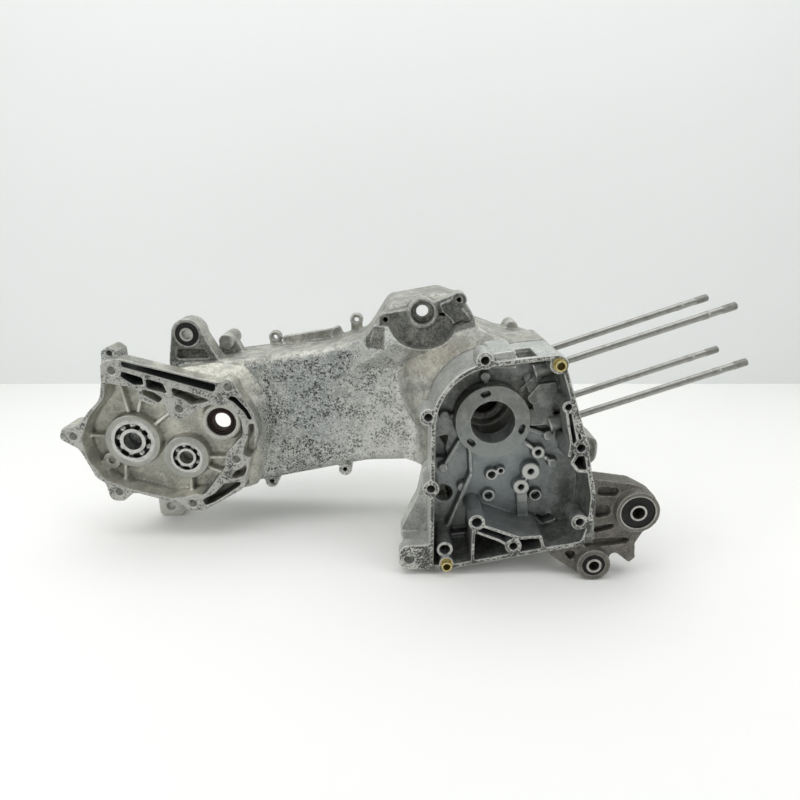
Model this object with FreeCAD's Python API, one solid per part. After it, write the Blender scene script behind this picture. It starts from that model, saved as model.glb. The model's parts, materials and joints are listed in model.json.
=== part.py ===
import FreeCAD, Part
import math
import os

# Engine crankcase of a single-cylinder scooter engine, both halves joined, seen from its right side.
# Frame: origin on the crankshaft axis at the face of the stator flange, +X to the cylinder,
# +Y to the left side of the engine (away from the open chamber), +Z up. Millimetres.
V = FreeCAD.Vector

# Planes across the engine, measured along Y
COVER_FACE_Y = -28.0
FLANGE_FACE_Y = 0.0
CHAMBER_FLOOR_Y = 22.0
CHAMBER_FLOOR = 6.0
FLOOR_PAD_R = 4.8
FLOOR_PAD_HEIGHT = 10.0
PARTING_Y = 39.0
GASKET = 0.5
GEAR_FACE_Y = 45.0
GEAR_FLOOR_Y = 70.0
GEAR_BACK_Y = 79.0
CASE_WALL_Y = 75.0
CASE_WALL = 6.0
CASE_RIM_Y = 150.0
BLOCK_BACK_Y = 96.0
SHOULDER_LOW_Z = -69.5
SHOULDER_CORNER_Z = -76.0
SHOULDER_TOP_Z = 40.0
SHOULDER_RADIUS = 22.0
GEAR_FLARE = 12.0
GEAR_TOP_LEAN = 8.0
STARTER_FACE_Y = 60.0
STARTER_AXIS = (-67.2, 97.0)
STARTER_REAR_EAR = (-105.1, 89.9)
STARTER_FRONT_EAR = (-30.7, 110.5)
STARTER_BODY_R = 37.0
STARTER_RING_R = 15.6
STARTER_BORE_R = 12.0
PINION_HOLE_R = 6.4
STARTER_EAR_HOLE_R = 2.7
SHELF_X = (-142.0, -44.0)
SHELF_HEIGHTS = (34.0, 66.0, 84.0)
SHELF_DEPTH = 11.0
SHELF_TAPER = 44.0
FLOOR_Z = -151.3

# Walls and rims
CHAMBER_WALL = 4.6
RIM_WALL = 5.0
CASE_EDGE_RADIUS = 13.0

# Crankshaft, flange and crank chamber
CRANK_HOLE_R = 21.4
FLANGE_R = 36.8
CRANK_WEB_R = 56.0
CRANK_CHAMBER_BACK_Y = 68.0
LEFT_SEAT_R = 26.0
LEFT_SEAT_Y = 84.0
LEFT_SEAL_R = 19.0
LEFT_SEAL_BORE_R = 9.0
LEFT_SEAL_WIDTH = 7.0
FLANGE_SLOT_R = 29.5
FLANGE_SLOT_LENGTH = 10.0
FLANGE_SLOT_WIDTH = 5.6
FLANGE_SLOT_DEPTH = 8.0

# Cylinder deck and studs
DECK_TILT = 19.0
DECK_DISTANCE = 77.0
CYLINDER_OFFSET = 4.5
CYLINDER_BORE_R = 26.0
CYLINDER_BOSS_R = 30.5
DECK_TOP = 52.0
DECK_BOTTOM = -36.0
STUD_HALF_SPACING = 28.5
STUD_TIP = 248.0
STUD_ENGAGEMENT = 21.0
STUD_SHANK_R = 3.5
STUD_THREAD_R = 3.9
STUD_THREAD_LENGTH = 14.0
STUD_RELIEF_LENGTH = 19.0
STUD_BOSS_R = 7.5
BASE_DOWEL_R = 5.6
BASE_DOWEL_BORE_R = 4.2
BASE_DOWEL_LENGTH = 13.0
FIT = 0.03

# Final drive: input shaft, countershaft and final shaft centres
INPUT_SHAFT = (-279.2, -17.2)
COUNTERSHAFT = (-322.7, -60.4)
FINAL_SHAFT = (-378.8, -41.5)
FINAL_BEARING = dict(outer_r=23.5, bore_r=10.0, width=14.0, ball_r=3.97, pitch_r=16.75, balls=9)
COUNTER_BEARING = dict(outer_r=17.5, bore_r=7.5, width=11.0, ball_r=2.975, pitch_r=12.5, balls=8)
SHOULDER_DROP = 2.9
BALL_CLEARANCE = 0.06
CAGE_CLEARANCE = 0.18
CAGE_RIM = 1.0
CAGE_EDGE = 0.6
CAGE_CROWN = 1.2
BEARING_FACE_Y = 58.0
BOSS_FACE_Y = 57.0
BEARING_BOSS_WALL = 6.0
SHAFT_POCKET_DEPTH = 4.0
INPUT_BOSS_FACE_Y = 50.0
INPUT_BOSS_R = 20.0
INPUT_BOSS_BASE_R = 24.5
INPUT_SEAL_R = 15.6
INPUT_SEAL_BORE_R = 9.0
INPUT_SEAL_WIDTH = 8.0
INPUT_SEAL_FRONT_Y = 53.0
INPUT_HOLE_R = 14.0
INPUT_BEARING_SEAT_R = 21.0
INPUT_BEARING_SEAT_Y = 66.0

# Fastener bosses and dowels on the belt case
COVER_BOLT_BOSS_R = 7.5
COVER_BOLT_HOLE_R = 2.6
COVER_BOLT_BOSS_LENGTH = 26.0
COVER_LUG_LENGTH = 9.0
COVER_LUG_HOLE_R = 3.0
BELT_DOWEL_R = 4.6
BELT_DOWEL_BORE_R = 3.2
BELT_DOWEL_LENGTH = 11.0
BELT_DOWEL_SEAT = 6.0

# Shock mount lug and the two hanger ears
SHOCK_EYE = (-318.4, 69.9)
SHOCK_EYE_R = 17.0
SHOCK_BUSH_R = 12.6
SHOCK_SLEEVE_R = 7.2
SHOCK_SLEEVE_BORE_R = 5.1
SHOCK_FRONT_Y = 85.0
SHOCK_WIDTH = 25.0
BIG_EAR = (136.3, -78.2)
BIG_EAR_R = 20.8
BIG_EAR_BUSH_R = 17.4
BIG_EAR_RUBBER_R = 16.4
BIG_EAR_SLEEVE_R = 8.0
BIG_EAR_SLEEVE_BORE_R = 6.1
LOW_EAR_X = 99.0
LOW_EAR_R = 16.3
LOW_EAR = (LOW_EAR_X, FLOOR_Z + LOW_EAR_R)
LOW_EAR_BUSH_R = 11.0
LOW_EAR_SLEEVE_R = 7.4
LOW_EAR_SLEEVE_BORE_R = 5.1
REST_LUG_X = -361.5
REST_LUG_WIDTH = 30.0
REST_LUG_DEPTH = 20.0
REST_LUG_BACK_Y = 117.0
EAR_FRONT_Y = -37.0
EAR_WIDTH = 27.0
ARM_FRONT_Y = -27.0
ARM_DEPTH = 20.0
ARM_WEB = 5.0
SLEEVE_OVERHANG = 1.0

# Upper eye of the left half, behind the hanger arm
LEFT_EYE = (105.0, -49.0)
LEFT_EYE_BORE_R = 12.2
LEFT_EYE_FRONT_Y = 50.0
LEFT_EYE_WIDTH = 34.0

# Cover joint fasteners
COVER_HOLE_R = 4.0
COVER_BOSS_R = 8.2
COVER_HOLE_DEPTH = 24.0
DOWEL_R = 5.0
DOWEL_BORE_R = 3.7
DOWEL_LENGTH = 15.0
DOWEL_SEAT_R = DOWEL_R + 0.5
DOWEL_SEAT_DEPTH = 9.0
CASE_BOLT_R = 3.0
CASE_BOLT_HEAD_R = 5.6
CASE_BOLT_HEAD = 6.0
CASE_BOLT_FLANGE_R = 7.0
CASE_BOLT_FLANGE = 1.6
CASE_BOLT_END_Y = 31.0
BOLT_CLEARANCE = 0.3

# Oil strainer under the left half; its cap is one of the three places the casting rests on
STRAINER = (12.0, 70.0)
STRAINER_HEAD_R = 17.0
STRAINER_HEAD = 6.0
STRAINER_WASHER = 1.5
STRAINER_PLUG_R = 14.0
STRAINER_PLUG = 8.0
STRAINER_BORE_R = 12.0
STRAINER_NECK_R = 19.5
STRAINER_SCREEN_R = 10.6
STRAINER_SCREEN_WALL = 0.6
STRAINER_SCREEN = 20.0
STRAINER_SPRING_R = 8.6
STRAINER_WIRE_R = 0.7
STRAINER_SPRING = 11.0
OIL_ROOM_LOW_Z = -104.0

# Drain screw of the final drive case
GEAR_DRAIN_R = 3.6
GEAR_DRAIN_HEAD_R = 7.0
GEAR_DRAIN_HEAD = 5.0
GEAR_DRAIN_WASHER = 1.2


def rounded_wire(corners, y):
    """Closed outline in the XZ plane from (x, z, corner radius) rows."""
    count = len(corners)
    edges = []
    ends = []
    for i in range(count):
        x, z, radius = corners[i]
        here = V(x, y, z)
        before = V(corners[i - 1][0], y, corners[i - 1][1]) - here
        after = V(corners[(i + 1) % count][0], y, corners[(i + 1) % count][1]) - here
        half = 0.5 * before.getAngle(after)
        longest = 0.48 * min(before.Length, after.Length)
        reach = min(radius / math.tan(half), longest)
        if reach < 0.05:
            ends.append((here, here, here))
            continue
        before.normalize()
        after.normalize()
        bisector = before + after
        bisector.normalize()
        true_radius = reach * math.tan(half)
        middle = here + bisector * (reach / math.cos(half) - true_radius)
        ends.append((here + before * reach, middle, here + after * reach))
    for i in range(count):
        start, middle, end = ends[i]
        if (end - start).Length > 0.01:
            edges.append(Part.Arc(start, middle, end).toShape())
        following = ends[(i + 1) % count][0]
        if (following - end).Length > 0.001:
            edges.append(Part.LineSegment(end, following).toShape())
    return Part.Wire(edges)


def prism(corners, front_y, back_y):
    """Straight body along Y with a rounded outline."""
    face = Part.Face(rounded_wire(corners, front_y))
    return face.extrude(V(0, back_y - front_y, 0))


def drum(centre, radius, front_y, back_y):
    """Cylinder along Y at an (x, z) centre."""
    return Part.makeCylinder(radius, back_y - front_y, V(centre[0], front_y, centre[1]), V(0, 1, 0))


def ring(centre, outer, inner, front_y, back_y):
    """Plain ring along Y."""
    return drum(centre, outer, front_y, back_y).cut(drum(centre, inner, front_y - 1, back_y + 1))


def drums(centres, radius, front_y, back_y):
    """The same cylinder along Y at each centre."""
    return [drum(centre, radius, front_y, back_y) for centre in centres]


def bar(start, end, width, front_y, back_y):
    """Rib between two (x, z) points, square ended, along Y."""
    dx, dz = end[0] - start[0], end[1] - start[1]
    length = math.hypot(dx, dz)
    nx, nz = -dz / length * width / 2, dx / length * width / 2
    corners = [
        (start[0] + nx, start[1] + nz, 0),
        (end[0] + nx, end[1] + nz, 0),
        (end[0] - nx, end[1] - nz, 0),
        (start[0] - nx, start[1] - nz, 0),
    ]
    return prism(corners, front_y, back_y)


def offset_prism(corners, amount, front_y, back_y):
    """Body along Y whose outline is the given one grown or shrunk by an amount."""
    wire = rounded_wire(corners, front_y).makeOffset2D(amount, 0, False, False, False)
    return Part.Face(wire).extrude(V(0, back_y - front_y, 0))


def union(first, others):
    """One solid from several that meet."""
    return first.multiFuse(list(others)).removeSplitter()


def deck_point(along, across, y):
    """Point given by its distance along the cylinder axis and square to it."""
    tilt = math.radians(DECK_TILT)
    return V(along * math.cos(tilt) - across * math.sin(tilt), y,
             along * math.sin(tilt) + across * math.cos(tilt))


def deck_rod(radius, start, end, across, y):
    """Cylinder parallel to the cylinder axis."""
    low = deck_point(start, across, y)
    return Part.makeCylinder(radius, end - start, low, deck_point(1, 0, 0))


def largest_solid(shape):
    """The main solid of a result, without loose slivers."""
    return max(shape.Solids, key=lambda solid: solid.Volume)


LEFT_FRONT_Y = PARTING_Y + GASKET
STUD_PLACES = [(CYLINDER_OFFSET + row * STUD_HALF_SPACING, PARTING_Y + side * STUD_HALF_SPACING)
               for row in (1, -1) for side in (-1, 1)]
BASE_DOWEL_PLACES = [STUD_PLACES[0], STUD_PLACES[3]]

DECK_UPPER_CORNER = deck_point(DECK_DISTANCE, DECK_TOP, 0)
DECK_LOWER_CORNER = deck_point(DECK_DISTANCE, DECK_BOTTOM, 0)
CHAMBER_OUTLINE = [
    (-61.5, 60.0, 62), (DECK_UPPER_CORNER.x, DECK_UPPER_CORNER.z, 7),
    (DECK_LOWER_CORNER.x, DECK_LOWER_CORNER.z, 30), (97.5, -66.0, 40),
    (96.5, -98.0, 25), (91.0, -118.0, 10), (52.0, -125.5, 60), (-44.0, -145.5, 20),
    (-61.5, -145.5, 5),
]
COVER_BOLTS = [(-13.8, 67.8), (79.4, -16.1), (84.5, -93.1), (21.4, -119.5), (-60.7, -58.0), (-64.1, 14.0)]
COVER_PLUG_BOSS = (-15.5, -93.6)
GALLERY_BOSS = (64.5, 24.1)
UPPER_DOWEL = (53.0, 64.2)
LOWER_DOWEL = (-44.2, -138.8)
SPLASH_BOSS = (-45.9, -125.0)
FOOT = (-80.9, -134.0)
INNER_CASE_BOLTS = [(-2.0, 62.0), (34.0, 55.0), (-51.0, -56.0)]
OUTER_CASE_BOLTS = [(-38.0, -131.0), (44.0, -116.0), (86.0, -72.0)]
CASE_BOLTS = INNER_CASE_BOLTS + OUTER_CASE_BOLTS
CASE_DOWELS = [(-48.0, -110.0), (80.0, -96.0)]
CASE_DOWEL_R = 4.5
CASE_DOWEL_BORE_R = 3.2
CASE_DOWEL_HALF = 6.0
BREATHER = ((-45.0, -85.6), 9.3)

FOOT_WEB_OUTLINE = [(-58, -52, 0), (-66, -60, 12), (-72, -92, 30), (-90, -130, 6), (-88, -143, 4), (-58, -142, 0)]
FOOT_WEB = 12.0
LEFT_FOOT_WEB = 8.0
SUMP_OUTLINE = [(-40, -66, 8), (30, -70, 10), (74, -70, 10), (76, -98, 10), (30, -106, 10), (-40, -116, 8)]


def crank_chamber(front_y, back_y):
    """Round room for the crank webs."""
    return drum((0, 0), CRANK_WEB_R, front_y, back_y)


def right_chamber():
    """Stator side of the right half: joint face, walls, floor and the room behind it."""
    body = prism(CHAMBER_OUTLINE, COVER_FACE_Y, PARTING_Y)
    body = body.cut(offset_prism(CHAMBER_OUTLINE, -CHAMBER_WALL, COVER_FACE_Y - 1, CHAMBER_FLOOR_Y))
    solids = drums(COVER_BOLTS, COVER_BOSS_R, COVER_FACE_Y, COVER_FACE_Y + COVER_HOLE_DEPTH + 6)
    solids.append(drum(COVER_PLUG_BOSS, COVER_BOSS_R, COVER_FACE_Y, CHAMBER_FLOOR_Y + 1))
    solids.append(drum(SPLASH_BOSS, COVER_BOSS_R, COVER_FACE_Y + 3, CHAMBER_FLOOR_Y + 1))
    solids.append(drum(LOWER_DOWEL, DOWEL_SEAT_R + 1.6, COVER_FACE_Y, COVER_FACE_Y + 16))
    solids.append(drum(UPPER_DOWEL, DOWEL_R + 3.6, COVER_FACE_Y, COVER_FACE_Y + 20))
    solids.append(drum(GALLERY_BOSS, 6.0, COVER_FACE_Y, CHAMBER_FLOOR_Y + 1))
    return union(body, solids)


JOINT_WEB = 3.2
THIN_WEB = 2.7
SHORT_WEB_DEPTH = 26.0
JOINT_WEBS = [
    ((-18.5, -96.0), (-18.5, -138.0)), ((-10.0, -97.0), (27.0, -110.5)), ((27.0, -110.5), (47.0, -109.0)),
    ((47.0, -108.0), (52.0, -124.0)), ((76.0, -23.0), (72.0, -31.0)), ((72.0, -31.0), (78.0, -39.0)),
    ((78.0, -39.0), (90.0, -40.0)), ((70.0, -12.0), (69.0, -25.0)),
]
THIN_WEBS = [((-17.0, -103.5), (8.0, -113.5)), ((6.0, -112.5), (18.0, -120.0)), ((68.0, 21.0), (76.5, -12.0))]
SHORT_WEBS = [((62.0, 26.0), (66.0, 5.0)), ((66.0, 5.0), (70.0, -12.0))]


def cover_joint_webs():
    """Walls that stand up to the joint face inside the chamber."""
    front, back = COVER_FACE_Y, CHAMBER_FLOOR_Y + 1
    webs = [bar(start, end, JOINT_WEB, front, back) for start, end in JOINT_WEBS]
    webs += [bar(start, end, THIN_WEB, front, back) for start, end in THIN_WEBS]
    webs += [bar(start, end, THIN_WEB, front, front + SHORT_WEB_DEPTH) for start, end in SHORT_WEBS]
    return webs


OIL_BOSSES = [
    ((3.2, -61.2), 6.2, 9), ((12.4, -57.0), 4.2, 9), ((49.3, -36.8), 6.8, 9),
    ((42.5, -56.4), 9.4, 12), ((33.5, -73.7), 8.4, 12), ((49.4, -84.1), 6.2, 9), ((1.1, -85.0), 6.6, 8),
]
OIL_HOLES = [
    ((3.2, -61.2), 3.7), ((12.4, -57.0), 2.3), ((49.3, -36.8), 3.0),
    ((42.5, -56.4), 3.0), ((33.5, -73.7), 3.0), ((49.4, -84.1), 4.6), ((1.1, -85.0), 4.0),
]


FLOOR_PADS = [(-7.4, 42.0), (43.1, 43.0), (-46.0, 2.1), (58.0, -18.5), (64.5, -48.4), (-46.5, -54.0), (-26.5, -75.0)]
SPOKE_PADS = FLOOR_PADS[:5]
SPOKE_WIDTH = 4.0
FLOOR_RIB_HEIGHT = 8.0
FLOOR_RIBS = [
    ((-18.0, -59.0), (-46.0, -134.0), 4.0, 12.0), ((-30.0, -24.0), (-46.5, -54.0), 3.6, FLOOR_RIB_HEIGHT),
    ((-20.0, -33.0), (-18.0, -60.0), 3.6, 10.0), ((35.0, -76.0), (39.0, -117.0), 11.0, 7.0),
    ((41.0, -56.0), (35.0, -74.0), 8.0, 7.0),
]
FLOOR_LANDS = [
    ([(44, 36, 4), (62, 39, 4), (62, 24, 4), (38, 15, 5), (33, 22, 4)], 14.0),
    ([(36, 10, 4), (60, 14, 5), (62, -6, 4), (38, -8, 4)], 11.0),
    ([(30, -106, 5), (52, -112, 5), (75, -106, 5), (72, -119, 5), (40, -124, 5)], 4.0),
]


def flange_and_floor():
    """Stator flange, pads, ribs and oil pump bosses on the chamber floor."""
    floor = CHAMBER_FLOOR_Y + 1
    parts = [drum((0, 0), FLANGE_R, FLANGE_FACE_Y, floor)]
    parts += drums(FLOOR_PADS, FLOOR_PAD_R, CHAMBER_FLOOR_Y - FLOOR_PAD_HEIGHT, floor)
    for pad in SPOKE_PADS:
        reach = (FLANGE_R - 1) / math.hypot(pad[0], pad[1])
        root = (pad[0] * reach, pad[1] * reach)
        parts.append(bar(pad, root, SPOKE_WIDTH, CHAMBER_FLOOR_Y - FLOOR_RIB_HEIGHT, floor))
    for place, radius, height in OIL_BOSSES:
        parts.append(drum(place, radius, CHAMBER_FLOOR_Y - height, floor))
    for start, end, width, height in FLOOR_RIBS:
        parts.append(bar(start, end, width, CHAMBER_FLOOR_Y - height, floor))
    for corners, height in FLOOR_LANDS:
        parts.append(prism(corners, CHAMBER_FLOOR_Y - height, floor))
    return parts


FLANGE_SLOT_ANGLES = (106.0, -14.0, -134.0)
PLUG_HOLE_R = 5.0
SPLASH_HOLE_R = 5.2
GALLERY_HOLE_R = 3.1
FOOT_HOLE_R = 5.2
DRAIN_WINDOWS = [
    [(-56, -24, 2), (-41, -20, 2), (-44, -36, 2), (-41, -46, 2), (-56, -46, 2)],
    [(-41, -124, 2), (-17, -124, 2), (-17, -131, 2), (-41, -134, 2)],
    [(50, -110.5, 2), (73, -108, 2), (72, -114, 2), (60, -118, 2)],
]
WINDOW_DEPTH = 10.0


def right_half_cuts():
    """Every hole and room that is cut out of the right half."""
    cuts = [crank_chamber(CHAMBER_FLOOR_Y + CHAMBER_FLOOR, PARTING_Y + 1)]
    cuts.append(drum((0, 0), CRANK_HOLE_R, FLANGE_FACE_Y - 1, PARTING_Y))
    cuts.append(prism(SUMP_OUTLINE, CHAMBER_FLOOR_Y + CHAMBER_FLOOR, PARTING_Y + 1))
    for angle in FLANGE_SLOT_ANGLES:
        spot = (FLANGE_SLOT_R * math.cos(math.radians(angle)), FLANGE_SLOT_R * math.sin(math.radians(angle)))
        side = math.radians(angle + 90)
        half = 0.5 * (FLANGE_SLOT_LENGTH - FLANGE_SLOT_WIDTH)
        ends = [(spot[0] + k * half * math.cos(side), spot[1] + k * half * math.sin(side)) for k in (-1, 1)]
        slot = bar(ends[0], ends[1], FLANGE_SLOT_WIDTH, FLANGE_FACE_Y - 1, FLANGE_FACE_Y + FLANGE_SLOT_DEPTH)
        cuts.append(slot)
        cuts += drums(ends, 0.5 * FLANGE_SLOT_WIDTH, FLANGE_FACE_Y - 1, FLANGE_FACE_Y + FLANGE_SLOT_DEPTH)
    cuts += drums(COVER_BOLTS, COVER_HOLE_R, COVER_FACE_Y - 1, COVER_FACE_Y + COVER_HOLE_DEPTH)
    cuts.append(drum(COVER_PLUG_BOSS, PLUG_HOLE_R, COVER_FACE_Y - 1, CHAMBER_FLOOR_Y - 4))
    cuts.append(drum(SPLASH_BOSS, SPLASH_HOLE_R, COVER_FACE_Y, COVER_FACE_Y + 20))
    cuts.append(drum(GALLERY_BOSS, GALLERY_HOLE_R, COVER_FACE_Y - 1, COVER_FACE_Y + 18))
    cuts.append(drum(FOOT, FOOT_HOLE_R, COVER_FACE_Y - 1, COVER_FACE_Y + COVER_HOLE_DEPTH))
    cuts.append(drum(UPPER_DOWEL, DOWEL_SEAT_R + FIT, COVER_FACE_Y - 1, COVER_FACE_Y + DOWEL_SEAT_DEPTH))
    cuts.append(drum(LOWER_DOWEL, DOWEL_SEAT_R + FIT, COVER_FACE_Y - 1, COVER_FACE_Y + DOWEL_SEAT_DEPTH))
    for place, radius in OIL_HOLES:
        cuts.append(drum(place, radius, COVER_FACE_Y, CHAMBER_FLOOR_Y + 2))
    through = PARTING_Y + 1
    cuts.append(drum(*BREATHER, CHAMBER_FLOOR_Y - 2, through))
    cuts += [prism(corners, CHAMBER_FLOOR_Y - 6, CHAMBER_FLOOR_Y + WINDOW_DEPTH) for corners in DRAIN_WINDOWS]
    return cuts


def deck_cuts():
    """Cylinder bore, stud holes and dowel seats."""
    far = DECK_DISTANCE + 30
    cuts = [deck_rod(CYLINDER_BORE_R, 30, far, CYLINDER_OFFSET, PARTING_Y)]
    for across, y in STUD_PLACES:
        cuts.append(deck_rod(STUD_THREAD_R + FIT, DECK_DISTANCE - STUD_ENGAGEMENT, far, across, y))
    for across, y in BASE_DOWEL_PLACES:
        cuts.append(deck_rod(BASE_DOWEL_R + FIT, DECK_DISTANCE - BASE_DOWEL_LENGTH / 2, far, across, y))
    return cuts


def deck_bosses():
    """Metal round the cylinder bore and the studs."""
    top = DECK_DISTANCE - 1
    bosses = [deck_rod(CYLINDER_BOSS_R, 42, top, CYLINDER_OFFSET, PARTING_Y)]
    for across, y in STUD_PLACES:
        bosses.append(deck_rod(STUD_BOSS_R, DECK_DISTANCE - STUD_ENGAGEMENT - 4, top, across, y))
    return bosses


def slab(front_y, back_y):
    """Everything between two planes across the engine."""
    size = 900.0
    return Part.makeBox(size, back_y - front_y, size, V(-600, front_y, -400))


def case_bolt_holes():
    """Clearance holes for the bolts that join the halves."""
    return drums(CASE_BOLTS, CASE_BOLT_R + BOLT_CLEARANCE, CASE_BOLT_END_Y - 1, BLOCK_BACK_Y + 1)


def case_dowel_holes():
    """Seats for the two hollow dowels between the halves."""
    return drums(CASE_DOWELS, CASE_DOWEL_R + FIT, LEFT_FRONT_Y - CASE_DOWEL_HALF, LEFT_FRONT_Y + CASE_DOWEL_HALF)


ARM_OUTLINE = [
    (84, -46, 5), (132, -52.5, 12), (157, -66, 14), (158, -90, 14), (146, -106, 6), (141, -116, 6),
    (142.5, -133, 4), (137, -138, 3), (119.5, -124, 5), (115, -138, 8), (100, -150, 8), (84, -148, 8),
    (56, -128, 3), (60, -118, 0), (84, -90, 0),
]
ARM_POCKETS = [
    [(99, -55, 4), (121, -58, 4), (118, -66, 4), (99, -65, 4)],
    [(99, -74, 4), (113, -76, 4), (114, -86, 4), (99, -90, 4)],
    [(99, -98, 4), (118, -95, 4), (119, -100, 3), (99, -106, 4)],
    [(90, -117, 4), (100, -112, 4), (124, -110, 4), (136, -111, 4), (134, -116, 3), (112, -119.5, 4), (92, -121, 3)],
    [(70, -125, 3), (82, -125, 4), (84, -131, 4), (79, -136, 4)],
]


def hanger_arm():
    """Front arm with its two bushed ears, cast on the right half."""
    back = ARM_FRONT_Y + ARM_DEPTH
    body = prism(ARM_OUTLINE, ARM_FRONT_Y, back)
    ear_back = EAR_FRONT_Y + EAR_WIDTH
    ears = [drum(BIG_EAR, BIG_EAR_R, EAR_FRONT_Y, ear_back), drum(LOW_EAR, LOW_EAR_R, EAR_FRONT_Y, ear_back)]
    body = union(body, ears)
    middle = ARM_FRONT_Y + ARM_DEPTH / 2
    for corners in ARM_POCKETS:
        body = body.cut(prism(corners, ARM_FRONT_Y - 1, middle - ARM_WEB / 2))
        body = body.cut(prism(corners, middle + ARM_WEB / 2, back + 1))
    return body.cut(offset_prism(CHAMBER_OUTLINE, -CHAMBER_WALL, COVER_FACE_Y - 1, CHAMBER_FLOOR_Y))


def ear_bores():
    """Seats of the bushes in the two ears."""
    front, back = EAR_FRONT_Y - 1, EAR_FRONT_Y + EAR_WIDTH + 1
    return [drum(BIG_EAR, BIG_EAR_BUSH_R + FIT, front, back), drum(LOW_EAR, LOW_EAR_BUSH_R + FIT, front, back)]


FOOT_OUTLINE = [(-58, -117.5, 0), (-86, -119, 6), (-91.5, -126, 8), (-91.5, -145.4, 10), (-58, -145.4, 0)]
FOOT_DEPTH = 15.0
FOOT_RIB_OUTLINE = [(-58, -132, 0), (-88, -132, 0), (-88, -137, 0), (-58, -137, 0)]
TIMING_WINDOW = [(17, 62, 2), (34, 62, 2), (34, 90, 2), (17, 90, 2)]
TIMING_WINDOW_Y = (-22.0, 14.0)
TOP_BLOCK_OUTLINE = [(-9, 60, 0), (-9, 73.5, 3), (13.5, 77.0, 2), (15, 60, 0)]


def foot_and_webs():
    """Rear lower foot of the right half with the web that braces it."""
    foot = prism(FOOT_OUTLINE, COVER_FACE_Y, COVER_FACE_Y + FOOT_DEPTH)
    web = prism(FOOT_WEB_OUTLINE, PARTING_Y - FOOT_WEB, PARTING_Y)
    rib = prism(FOOT_RIB_OUTLINE, COVER_FACE_Y, PARTING_Y)
    return [foot, web, rib]


def top_block():
    """Raised block and timing window on top of the right half."""
    return prism(TOP_BLOCK_OUTLINE, COVER_FACE_Y + 3, PARTING_Y - 8)


def right_crankcase():
    """Right half casting."""
    body = right_chamber()
    body = union(body, cover_joint_webs() + flange_and_floor())
    side = slab(COVER_FACE_Y, PARTING_Y)
    bosses = [boss.common(side) for boss in deck_bosses()]
    bosses = [boss for boss in bosses if boss.Volume > 1]
    body = union(body, bosses + foot_and_webs() + [top_block(), hanger_arm()])
    cuts = right_half_cuts() + deck_cuts() + case_bolt_holes() + case_dowel_holes() + ear_bores()
    cuts.append(prism(TIMING_WINDOW, *TIMING_WINDOW_Y))
    return largest_solid(body.cut(Part.Compound(cuts)))


BELT_CASE_OUTLINE = [
    (-353, 36, 60), (-276, 42.5, 60), (-170, 56, 80), (-128, 68, 16), (-120, 79, 10), (-103, 106, 14),
    (-48, 115.5, 20), (-22, 107, 14), (-8, 81, 12), (20, 71, 30), (50, 66.5, 60), (84, 52, 40), (86, -70, 70),
    (10, -84, 80), (-80, -73, 60), (-128, -74, 60), (-262, -101, 40), (-353, -101, 76),
]
BELT_COVER_BOLTS = [
    (-235.4, 55.7), (-140.5, 76.1), (-236.5, -98.5), (-152.4, -84.0), (-352.0, -10.0),
    (-330.0, -75.0), (35.5, 70.5), (-92.0, 100.0), (84.0, 16.0), (62.0, -72.0),
]
TOP_COVER_BOLTS = BELT_COVER_BOLTS[:2]
LOW_COVER_BOLTS = BELT_COVER_BOLTS[2:4]
BOSS_COVER_BOLTS = BELT_COVER_BOLTS[4:]
BELT_DOWELS = [BELT_COVER_BOLTS[4], BELT_COVER_BOLTS[8]]


def belt_case():
    """Long case of the belt drive, open to the left side."""
    outer = prism(BELT_CASE_OUTLINE, CASE_WALL_Y, CASE_RIM_Y)
    front_edges = [edge for edge in outer.Edges
                   if max(abs(vertex.Y - CASE_WALL_Y) for vertex in edge.Vertexes) < 1e-6]
    outer = outer.makeFillet(CASE_EDGE_RADIUS, front_edges)
    bosses = drums(BOSS_COVER_BOLTS, COVER_BOLT_BOSS_R, CASE_RIM_Y - COVER_BOLT_BOSS_LENGTH, CASE_RIM_Y)
    bosses += drums(LOW_COVER_BOLTS, COVER_BOLT_BOSS_R, CASE_WALL_Y + 5, CASE_RIM_Y)
    bosses += drums(TOP_COVER_BOLTS, COVER_BOLT_BOSS_R, CASE_RIM_Y - COVER_LUG_LENGTH, CASE_RIM_Y)
    for x, z in TOP_COVER_BOLTS:
        bosses.append(bar((x, z), (x, z - 2 * COVER_BOLT_BOSS_R), 1.7 * COVER_BOLT_BOSS_R,
                          CASE_RIM_Y - COVER_LUG_LENGTH, CASE_RIM_Y))
    return union(outer, bosses)


def belt_case_room():
    """Room for the belt, variator and clutch."""
    return offset_prism(BELT_CASE_OUTLINE, -RIM_WALL, CASE_WALL_Y + CASE_WALL, CASE_RIM_Y + 1)


def crank_block():
    """Left wall of the crank chamber, and the metal round the lower oil room."""
    body = prism(CHAMBER_OUTLINE, LEFT_FRONT_Y, BLOCK_BACK_Y)
    side = slab(LEFT_FRONT_Y, BLOCK_BACK_Y)
    bosses = [boss.common(side) for boss in deck_bosses()]
    web = prism(FOOT_WEB_OUTLINE, LEFT_FRONT_Y, LEFT_FRONT_Y + LEFT_FOOT_WEB)
    return union(body, bosses + [web])


SHOULDER_RINGS = [
    ((0.5, 5.1), 60.6, LEFT_FRONT_Y), ((-6.0, 16.0), 71.5, LEFT_FRONT_Y + 17.5),
    ((-12.0, 26.0), 82.0, CASE_WALL_Y + 0.5),
]


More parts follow.
